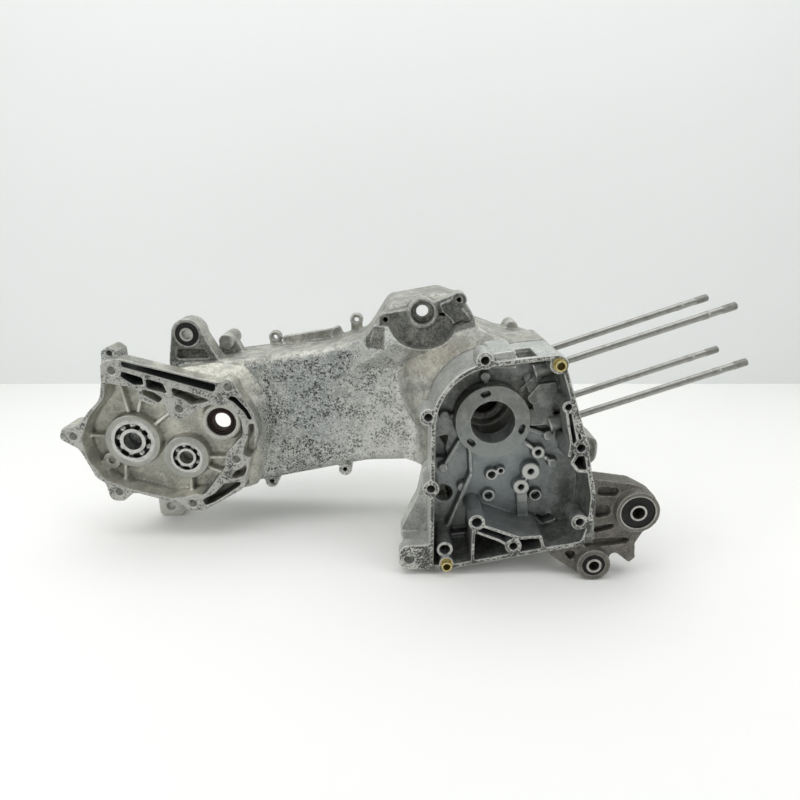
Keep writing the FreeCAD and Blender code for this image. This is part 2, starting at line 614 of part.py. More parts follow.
def shoulder_blend():
    """Sweep from the round corner of the crank block to the side wall and up to the starter seat."""
    rings = [Part.Wire(Part.makeCircle(radius, V(centre[0], y, centre[1]), V(0, 1, 0)))
             for centre, radius, y in SHOULDER_RINGS]
    sweep = Part.makeLoft(rings, True)
    sweep = sweep.common(prism(BELT_CASE_OUTLINE, LEFT_FRONT_Y, CASE_WALL_Y + 1))
    radius = SHOULDER_RADIUS
    side_x = CHAMBER_OUTLINE[0][0]
    front = CASE_WALL_Y - radius
    block = prism([(side_x - radius, SHOULDER_LOW_Z, 0), (side_x + 4, SHOULDER_CORNER_Z, 0),
                   (side_x + 4, SHOULDER_TOP_Z, 0), (side_x - radius, SHOULDER_TOP_Z, 0)], front, CASE_WALL_Y + 1)
    height = SHOULDER_TOP_Z - SHOULDER_CORNER_Z + 2
    side = block.cut(Part.makeCylinder(radius, height, V(side_x - radius, front, SHOULDER_CORNER_Z - 1), V(0, 0, 1)))
    return [sweep, side]


GEAR_OUTLINE = [
    (-396, 50.5, 9), (-375, 52.8, 8), (-280, 28.3, 8), (-262, 27, 10), (-243.5, -5, 25), (-238.5, -26, 25),
    (-251.5, -63, 15), (-258.5, -91, 16), (-303.5, -117.5, 20), (-320, -118.5, 5), (-329, -110, 10), (-345, -105.8, 30),
    (-379, -96, 8), (-391, -106.5, 8), (-405, -106, 9), (-408.5, -85, 8), (-417.5, -79, 10), (-431, -46, 14),
    (-451, -34, 6), (-445.5, -21.5, 6), (-428, -19, 10), (-415.4, -3.6, 30), (-402, 9, 25), (-397.7, 28, 30),
]
GEAR_LUGS = [
    ((-386.0, 40.1), 9.0), ((-435.8, -31.6), 8.0), ((-395.4, -95.7), 8.5), ((-316.9, -109.6), 8.5),
    ((-265.4, -57.6), 9.0), ((-267.9, 22.2), 9.0),
]
GEAR_HOLE_R = 4.6
GEAR_MIDDLE_BOLT = (-320.8, -1.0)
GEAR_CAVITY = [
    (-395, 27, 4), (-367, 22.5, 4), (-360.5, 18, 3), (-362, 9, 3), (-347, 3, 2), (-335.6, 7.5, 2),
    (-332.5, -6, 8), (-322.6, -15, 9), (-311, -8, 5), (-299, -1, 3), (-287, 3.5, 3), (-268, 2.5, 10),
    (-256.5, -12, 12), (-256, -30, 12), (-275.5, -51, 8), (-278.5, -68, 8), (-303, -99.5, 6), (-312, -98, 4),
    (-324.5, -101.5, 6), (-340, -103, 10), (-366, -96, 30), (-392, -89.5, 30), (-408, -81, 20), (-424, -58, 25),
    (-426, -32, 20), (-415, -9, 25), (-395, 13, 20),
]
GEAR_POCKETS = [
    [(-374.5, 50.0, 1.5), (-280, 25.8, 1.5), (-282, 17, 3), (-374.8, 44.6, 1.5)],
    [(-375.4, 39.3, 1.5), (-354.7, 32.7, 1.5), (-354.2, 25.2, 1), (-365, 25.2, 2), (-376.9, 33.4, 1.5)],
    [(-351.5, 31.6, 1), (-334.5, 26.7, 2), (-330.7, 15.2, 1), (-351.8, 21.6, 1)],
    [(-356.5, 20, 1), (-344.3, 16.9, 1.5), (-336.2, 10.3, 1.5), (-341, 5.6, 1.5), (-350.8, 11.2, 2), (-357, 15, 1)],
    [(-326.4, 22.2, 1.5), (-308.8, 16.9, 2), (-285.8, 7.9, 1), (-295.4, 5.6, 3), (-308, 3.3, 3), (-315, 9.5, 2),
     (-325, 13.5, 1.5)],
    [(-269, 9.5, 1), (-267, 12.4, 1.5), (-261, 12.2, 3), (-249.6, -1.8, 8), (-244.6, -12.8, 1), (-249.3, -13, 1),
     (-253, -4.5, 8), (-263.5, 6.8, 8)],
    [(-249, -17.8, 1), (-243.6, -17.3, 1), (-244.2, -35, 10), (-247.6, -54, 2), (-252, -55.2, 2), (-257.0, -52, 2),
     (-255.6, -43, 6), (-250.6, -33, 10)],
    [(-271, -76, 1.5), (-266.8, -70.9, 2), (-259.6, -67.7, 2), (-254.6, -62.9, 1), (-254.9, -68, 3),
     (-258, -76.6, 1.5), (-267.6, -80.4, 1.5), (-273, -79, 1)],
    [(-285.4, -91, 2), (-281.2, -86.3, 2), (-270.9, -84.4, 2), (-261.6, -83.5, 1.5), (-264, -88.6, 2),
     (-282.3, -101.2, 8), (-293, -108.0, 8), (-303.3, -112, 2), (-305.2, -105, 2), (-292.5, -97.8, 3)],
]
GEAR_POCKET_DEPTH = 20.0
GEAR_WINDOW = (-299.0, -105.6)
GEAR_WINDOW_R = 3.4
GEAR_RIBS = [
    ((-388, 30), (-381, -10)), ((-365, 10), (-371, -10)), ((-334, -8), (-357, -26)), ((-436, -36), (-404, -37)),
    ((-391, -64), (-395, -96)), ((-321, -84), (-323, -112)), ((-298, -62), (-266, -62)), ((-300, -74), (-270, -86)),
]
GEAR_DRAIN = (-407.4, -66.5)


def gear_case_outer():
    """Outside of the final drive case, its top leaning down towards the back."""
    body = prism(GEAR_OUTLINE, GEAR_FACE_Y, GEAR_BACK_Y)
    start, end = V(GEAR_OUTLINE[0][0], 0, GEAR_OUTLINE[1][1]), V(GEAR_OUTLINE[2][0], 0, GEAR_OUTLINE[2][1])
    along = end - start
    up = V(-along.z, 0, along.x).normalize()
    front = GEAR_FACE_Y + GEAR_POCKET_DEPTH
    rows = ((front, 0.2), (GEAR_BACK_Y + 1, -GEAR_TOP_LEAN), (GEAR_BACK_Y + 1, 20), (front, 20), (front, 0.2))
    wedge = Part.Face(Part.makePolygon([start + up * rise + V(0, y, 0) for y, rise in rows]))
    body = body.cut(wedge.extrude(along))
    lugs = [drum(place, radius, GEAR_FACE_Y, GEAR_BACK_Y - 4) for place, radius in GEAR_LUGS]
    backs = [drum(FINAL_SHAFT, 30, GEAR_BACK_Y - 1, GEAR_BACK_Y + 5),
             drum(COUNTERSHAFT, 25, GEAR_BACK_Y - 1, GEAR_BACK_Y + 4)]
    return union(body, lugs + backs)


def gear_case_flare():
    """Sloping foot of the final drive case on the long side wall."""
    front = CASE_WALL_Y - GEAR_FLARE
    body = offset_prism(GEAR_OUTLINE, GEAR_FLARE, front, CASE_WALL_Y + 1)
    edges = [edge for edge in body.Edges if max(abs(vertex.Y - front) for vertex in edge.Vertexes) < 1e-6]
    body = body.makeChamfer(GEAR_FLARE - 0.5, edges)
    return body.common(prism(BELT_CASE_OUTLINE, front - 1, CASE_WALL_Y + 1))


def gear_case_room():
    """Room for the reduction gears, under the ribbed band along the top."""
    return prism(GEAR_CAVITY, GEAR_FACE_Y - 1, GEAR_FLOOR_Y)


def gear_case_inside():
    """Ribs, bearing bosses and fastener bosses inside the final drive case."""
    floor = GEAR_FLOOR_Y + 1
    final_r = FINAL_BEARING["outer_r"] + BEARING_BOSS_WALL
    counter_r = COUNTER_BEARING["outer_r"] + BEARING_BOSS_WALL + 1
    parts = [drum(FINAL_SHAFT, final_r, BOSS_FACE_Y, floor), drum(COUNTERSHAFT, counter_r, BOSS_FACE_Y, floor)]
    cone = Part.makeCone(INPUT_BOSS_R, INPUT_BOSS_BASE_R, floor - INPUT_BOSS_FACE_Y,
                         V(INPUT_SHAFT[0], INPUT_BOSS_FACE_Y, INPUT_SHAFT[1]), V(0, 1, 0))
    parts.append(cone)
    parts += [bar(start, end, 3.4, 61.0, floor) for start, end in GEAR_RIBS]
    parts.append(drum(GEAR_DRAIN, 9.6, GEAR_FLOOR_Y - 7, floor))
    parts += [drum(place, radius, GEAR_FACE_Y, floor) for place, radius in GEAR_LUGS]
    parts.append(drum(GEAR_MIDDLE_BOLT, 10.2, GEAR_FACE_Y, floor))
    return parts


def gear_case_holes():
    """Bearing seats, shaft pockets, seal seat and fastener holes of the final drive case."""
    cuts = []
    for centre, bearing in ((FINAL_SHAFT, FINAL_BEARING), (COUNTERSHAFT, COUNTER_BEARING)):
        seat_back = BEARING_FACE_Y + bearing["width"]
        cuts.append(drum(centre, bearing["outer_r"] + FIT, GEAR_FACE_Y, seat_back))
        cuts.append(drum(centre, bearing["pitch_r"], seat_back - 1, seat_back + SHAFT_POCKET_DEPTH))
    seal_back = INPUT_SEAL_FRONT_Y + INPUT_SEAL_WIDTH
    cuts.append(drum(INPUT_SHAFT, INPUT_SEAL_R + FIT, GEAR_FACE_Y, seal_back))
    cuts.append(drum(INPUT_SHAFT, INPUT_HOLE_R, seal_back - 1, CASE_RIM_Y))
    cuts.append(drum(INPUT_SHAFT, INPUT_BEARING_SEAT_R, INPUT_BEARING_SEAT_Y, CASE_RIM_Y))
    bolts = [place for place, _ in GEAR_LUGS] + [GEAR_MIDDLE_BOLT]
    cuts += drums(bolts, GEAR_HOLE_R, GEAR_FACE_Y - 1, CASE_WALL_Y + CASE_WALL + 1)
    cuts.append(drum(GEAR_WINDOW, GEAR_WINDOW_R, GEAR_FACE_Y, GEAR_BACK_Y + 1))
    cuts.append(drum(GEAR_DRAIN, GEAR_DRAIN_R, GEAR_FLOOR_Y - 8, GEAR_BACK_Y + 1))
    cuts += [prism(corners, GEAR_FACE_Y - 1, GEAR_FACE_Y + GEAR_POCKET_DEPTH) for corners in GEAR_POCKETS]
    return cuts


def shock_lug():
    """Lug on top of the case that takes the rear shock absorber."""
    x, z = SHOCK_EYE
    back = SHOCK_FRONT_Y + SHOCK_WIDTH
    body = prism([(x - SHOCK_EYE_R, z, 0), (x + SHOCK_EYE_R, z, 0), (x + 31, 44, 8), (x + 38, 30, 0), (x - 20, 8, 0),
                  (x - 22, 40, 8)], SHOCK_FRONT_Y, back)
    body = union(body, [drum(SHOCK_EYE, SHOCK_EYE_R, SHOCK_FRONT_Y, back)])
    pocket = [(x - 12, z - 16.5, 3), (x + 17, z - 16.5, 3), (x + 25, z - 26, 3), (x - 14, z - 27, 3)]
    body = body.cut(prism(pocket, SHOCK_FRONT_Y - 1, SHOCK_FRONT_Y + 8))
    return body.cut(prism(pocket, back - 8, back + 1))


def rear_top_lug():
    """Small drilled lug above the rear end of the final drive case."""
    body = prism([(-406, 36, 0), (-404, 56, 3), (-394.5, 61.5, 3), (-386.5, 56, 3), (-386, 36, 0)], 66, 92)
    return body.cut(drum((-394.8, 53.6), 3.0, 65, 93))


def rest_lug():
    """Lug under the final drive case that touches the ground."""
    left, right = REST_LUG_X - REST_LUG_WIDTH / 2, REST_LUG_X + REST_LUG_WIDTH / 2
    bridge = prism([(left, -84, 0), (left - 1, -112, 6), (right + 1, -114, 6), (right, -84, 0)],
                   GEAR_BACK_Y - 8, REST_LUG_BACK_Y)
    leg = prism([(left, -90, 0), (left + 1, FLOOR_Z, 6), (right - 1, FLOOR_Z, 6), (right, -90, 0)],
                REST_LUG_BACK_Y - REST_LUG_DEPTH, REST_LUG_BACK_Y)
    hole = drum((REST_LUG_X, FLOOR_Z + 12.5), 5.0, REST_LUG_BACK_Y - REST_LUG_DEPTH - 1, REST_LUG_BACK_Y + 1)
    return union(bridge, [leg]).cut(hole)


STARTER_PLATE = [
    (-50.3, 106.3, 2), (-37.1, 111.5, 2), (-15.6, 89.2, 2), (-29.8, 89.2, 1), (-36.4, 85.4, 1), (-38, 89.9, 2),
    (-47.2, 98.2, 2),
]


STARTER_SEAT_OUTLINE = [
    (-122, 66, 0), (-118, 80, 8), (-104, 84, 8), (-68, 96, 10), (-34, 92, 10), (-22, 82, 6), (-16, 60, 0),
]
STARTER_REAR_EAR_R = 7.4
STARTER_FRONT_EAR_R = 8.0
STARTER_BRIDGE = 13.0
STARTER_STEP = 3.0


def starter_mount():
    """Flanged seat of the starter motor with its two ears and the pinion bore."""
    face = STARTER_FACE_Y
    back = CASE_WALL_Y + 4
    return [
        drum(STARTER_AXIS, STARTER_RING_R, face - STARTER_STEP / 2, back),
        drum(STARTER_REAR_EAR, STARTER_REAR_EAR_R, face, back),
        drum(STARTER_FRONT_EAR, STARTER_FRONT_EAR_R, face - STARTER_STEP, back),
        bar(STARTER_REAR_EAR, STARTER_AXIS, STARTER_BRIDGE, face, back),
        bar(STARTER_FRONT_EAR, STARTER_AXIS, STARTER_BRIDGE, face, back),
        prism(STARTER_SEAT_OUTLINE, face, CASE_WALL_Y + 12),
        prism(STARTER_PLATE, face - STARTER_STEP, back),
    ]


def starter_shelf():
    """Sloping shoulder under the starter motor, between the side wall and the crank block."""
    left, right = SHELF_X
    foot, lip, top = SHELF_HEIGHTS
    front, back = STARTER_FACE_Y - SHELF_DEPTH, CASE_WALL_Y + 1
    side = [V(left, back, foot), V(left, back, top), V(left, front, top), V(left, front, lip), V(left, back, foot)]
    wedge = Part.Face(Part.makePolygon(side)).extrude(V(right - left, 0, 0))
    plan = [V(left, back, 0), V(left + SHELF_TAPER, front, 0), V(right, front, 0), V(right, back, 0), V(left, back, 0)]
    wedge = wedge.common(Part.Face(Part.makePolygon(plan)).extrude(V(0, 0, top + 1)))
    return wedge.common(prism(BELT_CASE_OUTLINE, front - 1, back + 1))


def starter_room():
    """Round scoop that clears the body of the starter motor."""
    return drum(STARTER_AXIS, STARTER_BODY_R, LEFT_FRONT_Y, STARTER_FACE_Y)


LEFT_EYE_OUTLINE = [(80, -30, 4), (105, -30, 10), (121, -36, 16), (121, -62, 16), (105, -68, 10), (80, -66, 4)]
TOP_RAIL_BOSS = ((-284.5, 56.5), 8.4, 112.0)
TOP_RAIL_PARTS = [
    ([(-298, 36, 0), (-294, 57, 6), (-275, 58, 6), (-266, 40, 0)], 120.0, 132.0),
    ([(-226, 40, 0), (-226, 58, 2), (-163, 68.0, 2), (-163, 50, 0)], 136.0, 142.0),
    ([(-170, 46, 0), (-168, 67, 4), (-160, 71.5, 3), (-152, 54, 0)], 134.0, 142.0),
]


def left_eye():
    """Upper eye of the left half, behind the hanger arm."""
    return prism(LEFT_EYE_OUTLINE, LEFT_EYE_FRONT_Y, LEFT_EYE_FRONT_Y + LEFT_EYE_WIDTH)


def top_rail():
    """Bosses that stand on the upper edge of the belt case."""
    return [drum(*TOP_RAIL_BOSS, CASE_RIM_Y)] + [prism(*part) for part in TOP_RAIL_PARTS]


def left_crankcase():
    """Left half casting: crank block, belt case and final drive case in one piece."""
    body = union(belt_case(), [crank_block(), gear_case_outer(), gear_case_flare()] + shoulder_blend())
    body = union(body, [shock_lug(), rear_top_lug(), rest_lug(), left_eye(), starter_shelf()] + top_rail())
    body = body.cut(starter_room())
    body = union(body, starter_mount())
    body = body.cut(gear_case_room())
    body = union(body, gear_case_inside())
    room = belt_case_room()
    inner_bosses = drums(LOW_COVER_BOLTS + BOSS_COVER_BOLTS, COVER_BOLT_BOSS_R,
                         CASE_RIM_Y - COVER_BOLT_BOSS_LENGTH, CASE_RIM_Y)
    body = body.cut(room)
    body = union(body, [crank_back_boss(), strainer_neck()] + inner_bosses)
    cuts = left_half_cuts() + gear_case_holes() + deck_cuts()
    return largest_solid(body.cut(Part.Compound(cuts)))


def crank_back_boss():
    """Boss round the crankshaft inside the belt case."""
    return drum((0, 0), LEFT_SEAT_R + 6, CASE_WALL_Y + 1, LEFT_SEAT_Y + LEFT_SEAL_WIDTH + 2)


def upright(radius, low, high):
    """Cylinder along Z at the strainer."""
    return Part.makeCylinder(radius, high - low, V(STRAINER[0], STRAINER[1], low), V(0, 0, 1))


STRAINER_NECK_Z = FLOOR_Z + STRAINER_HEAD + STRAINER_WASHER
STRAINER_PLUG_TOP_Z = STRAINER_NECK_Z + STRAINER_PLUG


def strainer_neck():
    """Round neck under the oil room for the strainer."""
    return upright(STRAINER_NECK_R, STRAINER_NECK_Z, OIL_ROOM_LOW_Z - 14)


def left_half_cuts():
    """Every hole and room that is cut out of the left half."""
    cuts = [crank_chamber(LEFT_FRONT_Y - 1, CRANK_CHAMBER_BACK_Y)]
    seat_back = LEFT_SEAT_Y
    cuts.append(drum((0, 0), LEFT_SEAT_R, CRANK_CHAMBER_BACK_Y - 1, seat_back))
    cuts.append(drum((0, 0), LEFT_SEAL_R + FIT, seat_back - 1, seat_back + LEFT_SEAL_WIDTH + 3))
    cuts.append(prism(SUMP_OUTLINE, LEFT_FRONT_Y - 1, BLOCK_BACK_Y - 8))
    cuts += drums(BOSS_COVER_BOLTS, COVER_BOLT_HOLE_R, CASE_RIM_Y - 20, CASE_RIM_Y + 1)
    cuts += drums(TOP_COVER_BOLTS, COVER_LUG_HOLE_R, CASE_RIM_Y - COVER_LUG_LENGTH - 1, CASE_RIM_Y + 1)
    cuts += drums(LOW_COVER_BOLTS, COVER_BOLT_HOLE_R, CASE_WALL_Y + 4, CASE_RIM_Y + 1)
    cuts += drums(BELT_DOWELS, BELT_DOWEL_R + FIT, CASE_RIM_Y - BELT_DOWEL_SEAT, CASE_RIM_Y + 1)
    cuts += case_bolt_holes() + case_dowel_holes()
    cuts.append(drum(SHOCK_EYE, SHOCK_BUSH_R + FIT, SHOCK_FRONT_Y - 1, SHOCK_FRONT_Y + SHOCK_WIDTH + 1))
    cuts.append(drum(LEFT_EYE, LEFT_EYE_BORE_R, LEFT_FRONT_Y, CASE_RIM_Y))
    cuts.append(drum(STARTER_AXIS, PINION_HOLE_R, STARTER_FACE_Y - 3, CASE_RIM_Y - 40))
    cuts.append(drum(STARTER_AXIS, STARTER_BORE_R, STARTER_FACE_Y - 3, STARTER_FACE_Y + 11))
    cuts += drums([STARTER_REAR_EAR, STARTER_FRONT_EAR], STARTER_EAR_HOLE_R, STARTER_FACE_Y - 4, STARTER_FACE_Y + 12)
    cuts.append(drum(*BREATHER, LEFT_FRONT_Y - 1, LEFT_FRONT_Y + 6))
    cuts.append(upright(STRAINER_BORE_R, STRAINER_NECK_Z - 1, OIL_ROOM_LOW_Z + 4))
    cuts.append(upright(STRAINER_PLUG_R + FIT, STRAINER_NECK_Z - 1, STRAINER_PLUG_TOP_Z + 1))
    return cuts


def crankcase_gasket():
    """Thin gasket between the halves."""
    body = prism(CHAMBER_OUTLINE, PARTING_Y, LEFT_FRONT_Y)
    cuts = [crank_chamber(PARTING_Y - 1, LEFT_FRONT_Y + 1), prism(SUMP_OUTLINE, PARTING_Y - 1, LEFT_FRONT_Y + 1)]
    cuts += case_bolt_holes()
    cuts += case_dowel_holes()
    cuts.append(drum(*BREATHER, PARTING_Y - 1, LEFT_FRONT_Y + 1))
    cuts += deck_cuts()
    return largest_solid(body.cut(Part.Compound(cuts)))


def cylinder_stud(across, y):
    """Long stud with rolled threads at both ends and a short full-size collar near the tip."""
    root = DECK_DISTANCE - STUD_ENGAGEMENT + 0.5
    body = deck_rod(STUD_SHANK_R, root, STUD_TIP - 1, across, y)
    threads = [
        deck_rod(STUD_THREAD_R, root, DECK_DISTANCE + 2, across, y),
        deck_rod(STUD_THREAD_R, STUD_TIP - STUD_THREAD_LENGTH, STUD_TIP, across, y),
        deck_rod(STUD_THREAD_R - 0.1, STUD_TIP - STUD_THREAD_LENGTH - STUD_RELIEF_LENGTH,
                 STUD_TIP - STUD_THREAD_LENGTH - STUD_RELIEF_LENGTH + 6, across, y),
    ]
    return union(body, threads)


def cover_dowel(centre):
    """Hollow locating dowel of the cover joint, a little thicker where it is pressed in."""
    back = COVER_FACE_Y + DOWEL_SEAT_DEPTH
    body = union(drum(centre, DOWEL_R, back - DOWEL_LENGTH, COVER_FACE_Y + 1),
                 [drum(centre, DOWEL_SEAT_R, COVER_FACE_Y, back)])
    return body.cut(drum(centre, DOWEL_BORE_R, back - DOWEL_LENGTH - 1, back + 1))


def base_dowel(across, y):
    """Hollow dowel round a stud on the cylinder deck."""
    start = DECK_DISTANCE - BASE_DOWEL_LENGTH / 2 + 0.2
    body = deck_rod(BASE_DOWEL_R, start, start + BASE_DOWEL_LENGTH, across, y)
    return body.cut(deck_rod(BASE_DOWEL_BORE_R, start - 1, start + BASE_DOWEL_LENGTH + 1, across, y))


def hexagon(centre, radius):
    """Corners of a six-sided head."""
    turns = [math.radians(60 * k) for k in range(6)]
    return [(centre[0] + radius * math.cos(turn), centre[1] + radius * math.sin(turn), 0) for turn in turns]


def case_bolt(place):
    """Flange bolt that joins the halves, put in from the left side."""
    seat = BLOCK_BACK_Y if place in OUTER_CASE_BOLTS else CASE_WALL_Y + CASE_WALL
    head = prism(hexagon(place, CASE_BOLT_HEAD_R), seat + 1, seat + CASE_BOLT_HEAD)
    flange = drum(place, CASE_BOLT_FLANGE_R, seat, seat + CASE_BOLT_FLANGE)
    shank = drum(place, CASE_BOLT_R, CASE_BOLT_END_Y, seat + 1)
    return union(shank, [flange, head])


def race_groove(centre, middle_y, bearing, clearance):
    """Torus that the balls run in."""
    return Part.makeTorus(bearing["pitch_r"], bearing["ball_r"] + clearance,
                          V(centre[0], middle_y, centre[1]), V(0, 1, 0))


def bearing_parts(centre, bearing):
    """Outer ring, inner ring, balls and cage of a deep groove ball bearing."""
    front = BEARING_FACE_Y
    back = front + bearing["width"]
    middle = 0.5 * (front + back)
    drop = SHOULDER_DROP * bearing["ball_r"] / FINAL_BEARING["ball_r"]
    groove = race_groove(centre, middle, bearing, BALL_CLEARANCE)
    outer = ring(centre, bearing["outer_r"], bearing["pitch_r"] + drop, front, back).cut(groove)
    inner = ring(centre, bearing["pitch_r"] - drop, bearing["bore_r"], front, back).cut(groove)
    balls = []
    pockets = []
    for k in range(bearing["balls"]):
        angle = 2 * math.pi * k / bearing["balls"] + 0.2
        spot = V(centre[0] + bearing["pitch_r"] * math.cos(angle), middle,
                 centre[1] + bearing["pitch_r"] * math.sin(angle))
        balls.append(Part.makeSphere(bearing["ball_r"], spot))
        outward = V(math.cos(angle), 0, math.sin(angle))
        pockets.append(Part.makeCylinder(bearing["ball_r"] + CAGE_CLEARANCE, 2 * bearing["ball_r"],
                                         spot - outward * bearing["ball_r"], outward))
    cage_back = middle + bearing["ball_r"] + CAGE_CLEARANCE + CAGE_RIM
    cage = ring(centre, bearing["pitch_r"] + drop - CAGE_EDGE, bearing["pitch_r"] - drop + CAGE_EDGE,
                middle - CAGE_CROWN, cage_back)
    cage = cage.cut(Part.Compound(pockets))
    return outer, inner, Part.Compound(balls), largest_solid(cage)


def bush(centre, shell_r, rubber_r, sleeve_r, bore_r, front_y, width):
    """Bonded bush: steel shell where it has one, rubber and steel sleeve."""
    back = front_y + width
    rubber = ring(centre, rubber_r, sleeve_r, front_y + 1.2, back - 1.2)
    sleeve = ring(centre, sleeve_r, bore_r, front_y - SLEEVE_OVERHANG, back + SLEEVE_OVERHANG)
    shell = ring(centre, shell_r, rubber_r, front_y, back) if shell_r > rubber_r else None
    return shell, rubber, sleeve


def shaft_seal(centre, outer, bore, front_y, width):
    """Steel seal case and rubber lip."""
    back = front_y + width
    case_wall = 1.4
    shell = ring(centre, outer, outer - case_wall, front_y, back)
    lip = ring(centre, outer - case_wall, bore, front_y + 1.6, back)
    hollow = ring(centre, outer - case_wall - 1.5, bore + 2.2, front_y, front_y + 3.6)
    return shell, lip.cut(hollow)


def strainer_parts():
    """Screw cap, sealing washer, spring and screen of the oil strainer."""
    x, y = STRAINER
    corners = [V(x + STRAINER_HEAD_R * math.cos(math.radians(60 * k)),
                 y + STRAINER_HEAD_R * math.sin(math.radians(60 * k)), FLOOR_Z) for k in range(7)]
    head = Part.Face(Part.makePolygon(corners)).extrude(V(0, 0, STRAINER_HEAD - 2))
    flange = upright(STRAINER_HEAD_R, FLOOR_Z + STRAINER_HEAD - 2, FLOOR_Z + STRAINER_HEAD)
    plug = upright(STRAINER_PLUG_R, FLOOR_Z + STRAINER_HEAD, STRAINER_PLUG_TOP_Z)
    cap = union(head, [flange, plug]).cut(upright(STRAINER_PLUG_R - 3.5, FLOOR_Z + STRAINER_HEAD, STRAINER_PLUG_TOP_Z + 1))
    washer = upright(STRAINER_HEAD_R, FLOOR_Z + STRAINER_HEAD, STRAINER_NECK_Z)
    washer = washer.cut(upright(STRAINER_PLUG_R + 0.2, FLOOR_Z, STRAINER_NECK_Z + 1))
    spring_low = FLOOR_Z + STRAINER_HEAD + STRAINER_WIRE_R
    pitch = STRAINER_SPRING / 4
    path = Part.Wire(Part.makeHelix(pitch, STRAINER_SPRING, STRAINER_SPRING_R).Edges)
    start = V(STRAINER_SPRING_R, 0, 0)
    section = Part.Wire(Part.makeCircle(STRAINER_WIRE_R, start, V(0, 1, 0)))
    spring = path.makePipeShell([section], True, True)
    spring.translate(V(x, y, spring_low))
    screen_low = spring_low + STRAINER_SPRING + STRAINER_WIRE_R
    outside = upright(STRAINER_SCREEN_R, screen_low, screen_low + STRAINER_SCREEN)
    rim = upright(STRAINER_BORE_R - 0.3, screen_low, screen_low + 1.5)
    inside = upright(STRAINER_SCREEN_R - STRAINER_SCREEN_WALL, screen_low + 1, screen_low + STRAINER_SCREEN + 1)
    screen = union(outside, [rim]).cut(inside)
    return cap, washer, spring, screen


def gear_drain_parts():
    """Drain screw of the final drive case and its washer, on the left side."""
    seat = GEAR_BACK_Y + GEAR_DRAIN_WASHER
    washer = ring(GEAR_DRAIN, GEAR_DRAIN_HEAD_R + 0.6, GEAR_DRAIN_R + 0.2, GEAR_BACK_Y, seat)
    head = prism(hexagon(GEAR_DRAIN, GEAR_DRAIN_HEAD_R), seat, seat + GEAR_DRAIN_HEAD)
    shank = drum(GEAR_DRAIN, GEAR_DRAIN_R - FIT, GEAR_FLOOR_Y - 3, seat + 1)
    return union(shank, [head]), washer


def save(name, shape):
    """Write one node as a STEP file."""
    shape.exportStep("parts/%s.step" % name)


def build():
    """Make every node of the crankcase."""
    nodes = {}
    nodes["right_crankcase"] = right_crankcase()
    nodes["left_crankcase"] = left_crankcase()
    nodes["crankcase_gasket"] = crankcase_gasket()
    nodes["cylinder_studs"] = Part.Compound([cylinder_stud(across, y) for across, y in STUD_PLACES])
    nodes["cylinder_base_dowels"] = Part.Compound([base_dowel(across, y) for across, y in BASE_DOWEL_PLACES])
    nodes["upper_cover_dowel"] = cover_dowel(UPPER_DOWEL)
    nodes["lower_cover_dowel"] = cover_dowel(LOWER_DOWEL)
    nodes["case_bolts"] = Part.Compound([case_bolt(place) for place in CASE_BOLTS])
    for name, centre, bearing in (("final_bearing", FINAL_SHAFT, FINAL_BEARING),
                                  ("counter_bearing", COUNTERSHAFT, COUNTER_BEARING)):
        outer, inner, balls, cage = bearing_parts(centre, bearing)
        nodes[name + "_outer_ring"] = outer
        nodes[name + "_inner_ring"] = inner
        nodes[name + "_balls"] = balls
        nodes[name + "_cage"] = cage
    nodes["case_dowels"] = Part.Compound([
        ring(place, CASE_DOWEL_R, CASE_DOWEL_BORE_R, LEFT_FRONT_Y - CASE_DOWEL_HALF, LEFT_FRONT_Y + CASE_DOWEL_HALF)
        for place in CASE_DOWELS])
    dowel_front = CASE_RIM_Y - BELT_DOWEL_SEAT
    nodes["belt_cover_dowels"] = Part.Compound([
        ring(place, BELT_DOWEL_R, BELT_DOWEL_BORE_R, dowel_front, dowel_front + BELT_DOWEL_LENGTH)
        for place in BELT_DOWELS])
    shell, lip = shaft_seal(INPUT_SHAFT, INPUT_SEAL_R, INPUT_SEAL_BORE_R, INPUT_SEAL_FRONT_Y, INPUT_SEAL_WIDTH)
    nodes["input_seal_case"], nodes["input_seal_lip"] = shell, lip
    shell, lip = shaft_seal((0, 0), LEFT_SEAL_R, LEFT_SEAL_BORE_R, LEFT_SEAT_Y, LEFT_SEAL_WIDTH)
    nodes["crank_seal_case"], nodes["crank_seal_lip"] = shell, lip
    _, rubber, sleeve = bush(SHOCK_EYE, SHOCK_BUSH_R, SHOCK_BUSH_R, SHOCK_SLEEVE_R, SHOCK_SLEEVE_BORE_R,
                             SHOCK_FRONT_Y, SHOCK_WIDTH)
    nodes["shock_bush_rubber"], nodes["shock_bush_sleeve"] = rubber, sleeve
    shell, rubber, sleeve = bush(BIG_EAR, BIG_EAR_BUSH_R, BIG_EAR_RUBBER_R, BIG_EAR_SLEEVE_R, BIG_EAR_SLEEVE_BORE_R,
                                 EAR_FRONT_Y, EAR_WIDTH)
    nodes["hanger_bush_shell"], nodes["hanger_bush_rubber"], nodes["hanger_bush_sleeve"] = shell, rubber, sleeve
    _, rubber, sleeve = bush(LOW_EAR, LOW_EAR_BUSH_R, LOW_EAR_BUSH_R, LOW_EAR_SLEEVE_R, LOW_EAR_SLEEVE_BORE_R,
                             EAR_FRONT_Y, EAR_WIDTH)
    nodes["lower_bush_rubber"], nodes["lower_bush_sleeve"] = rubber, sleeve
    cap, washer, spring, screen = strainer_parts()
    nodes["oil_strainer_cap"], nodes["oil_strainer_washer"] = cap, washer
    nodes["oil_strainer_spring"], nodes["oil_strainer_screen"] = spring, screen
    nodes["gear_drain_screw"], nodes["gear_drain_washer"] = gear_drain_parts()
    return nodes


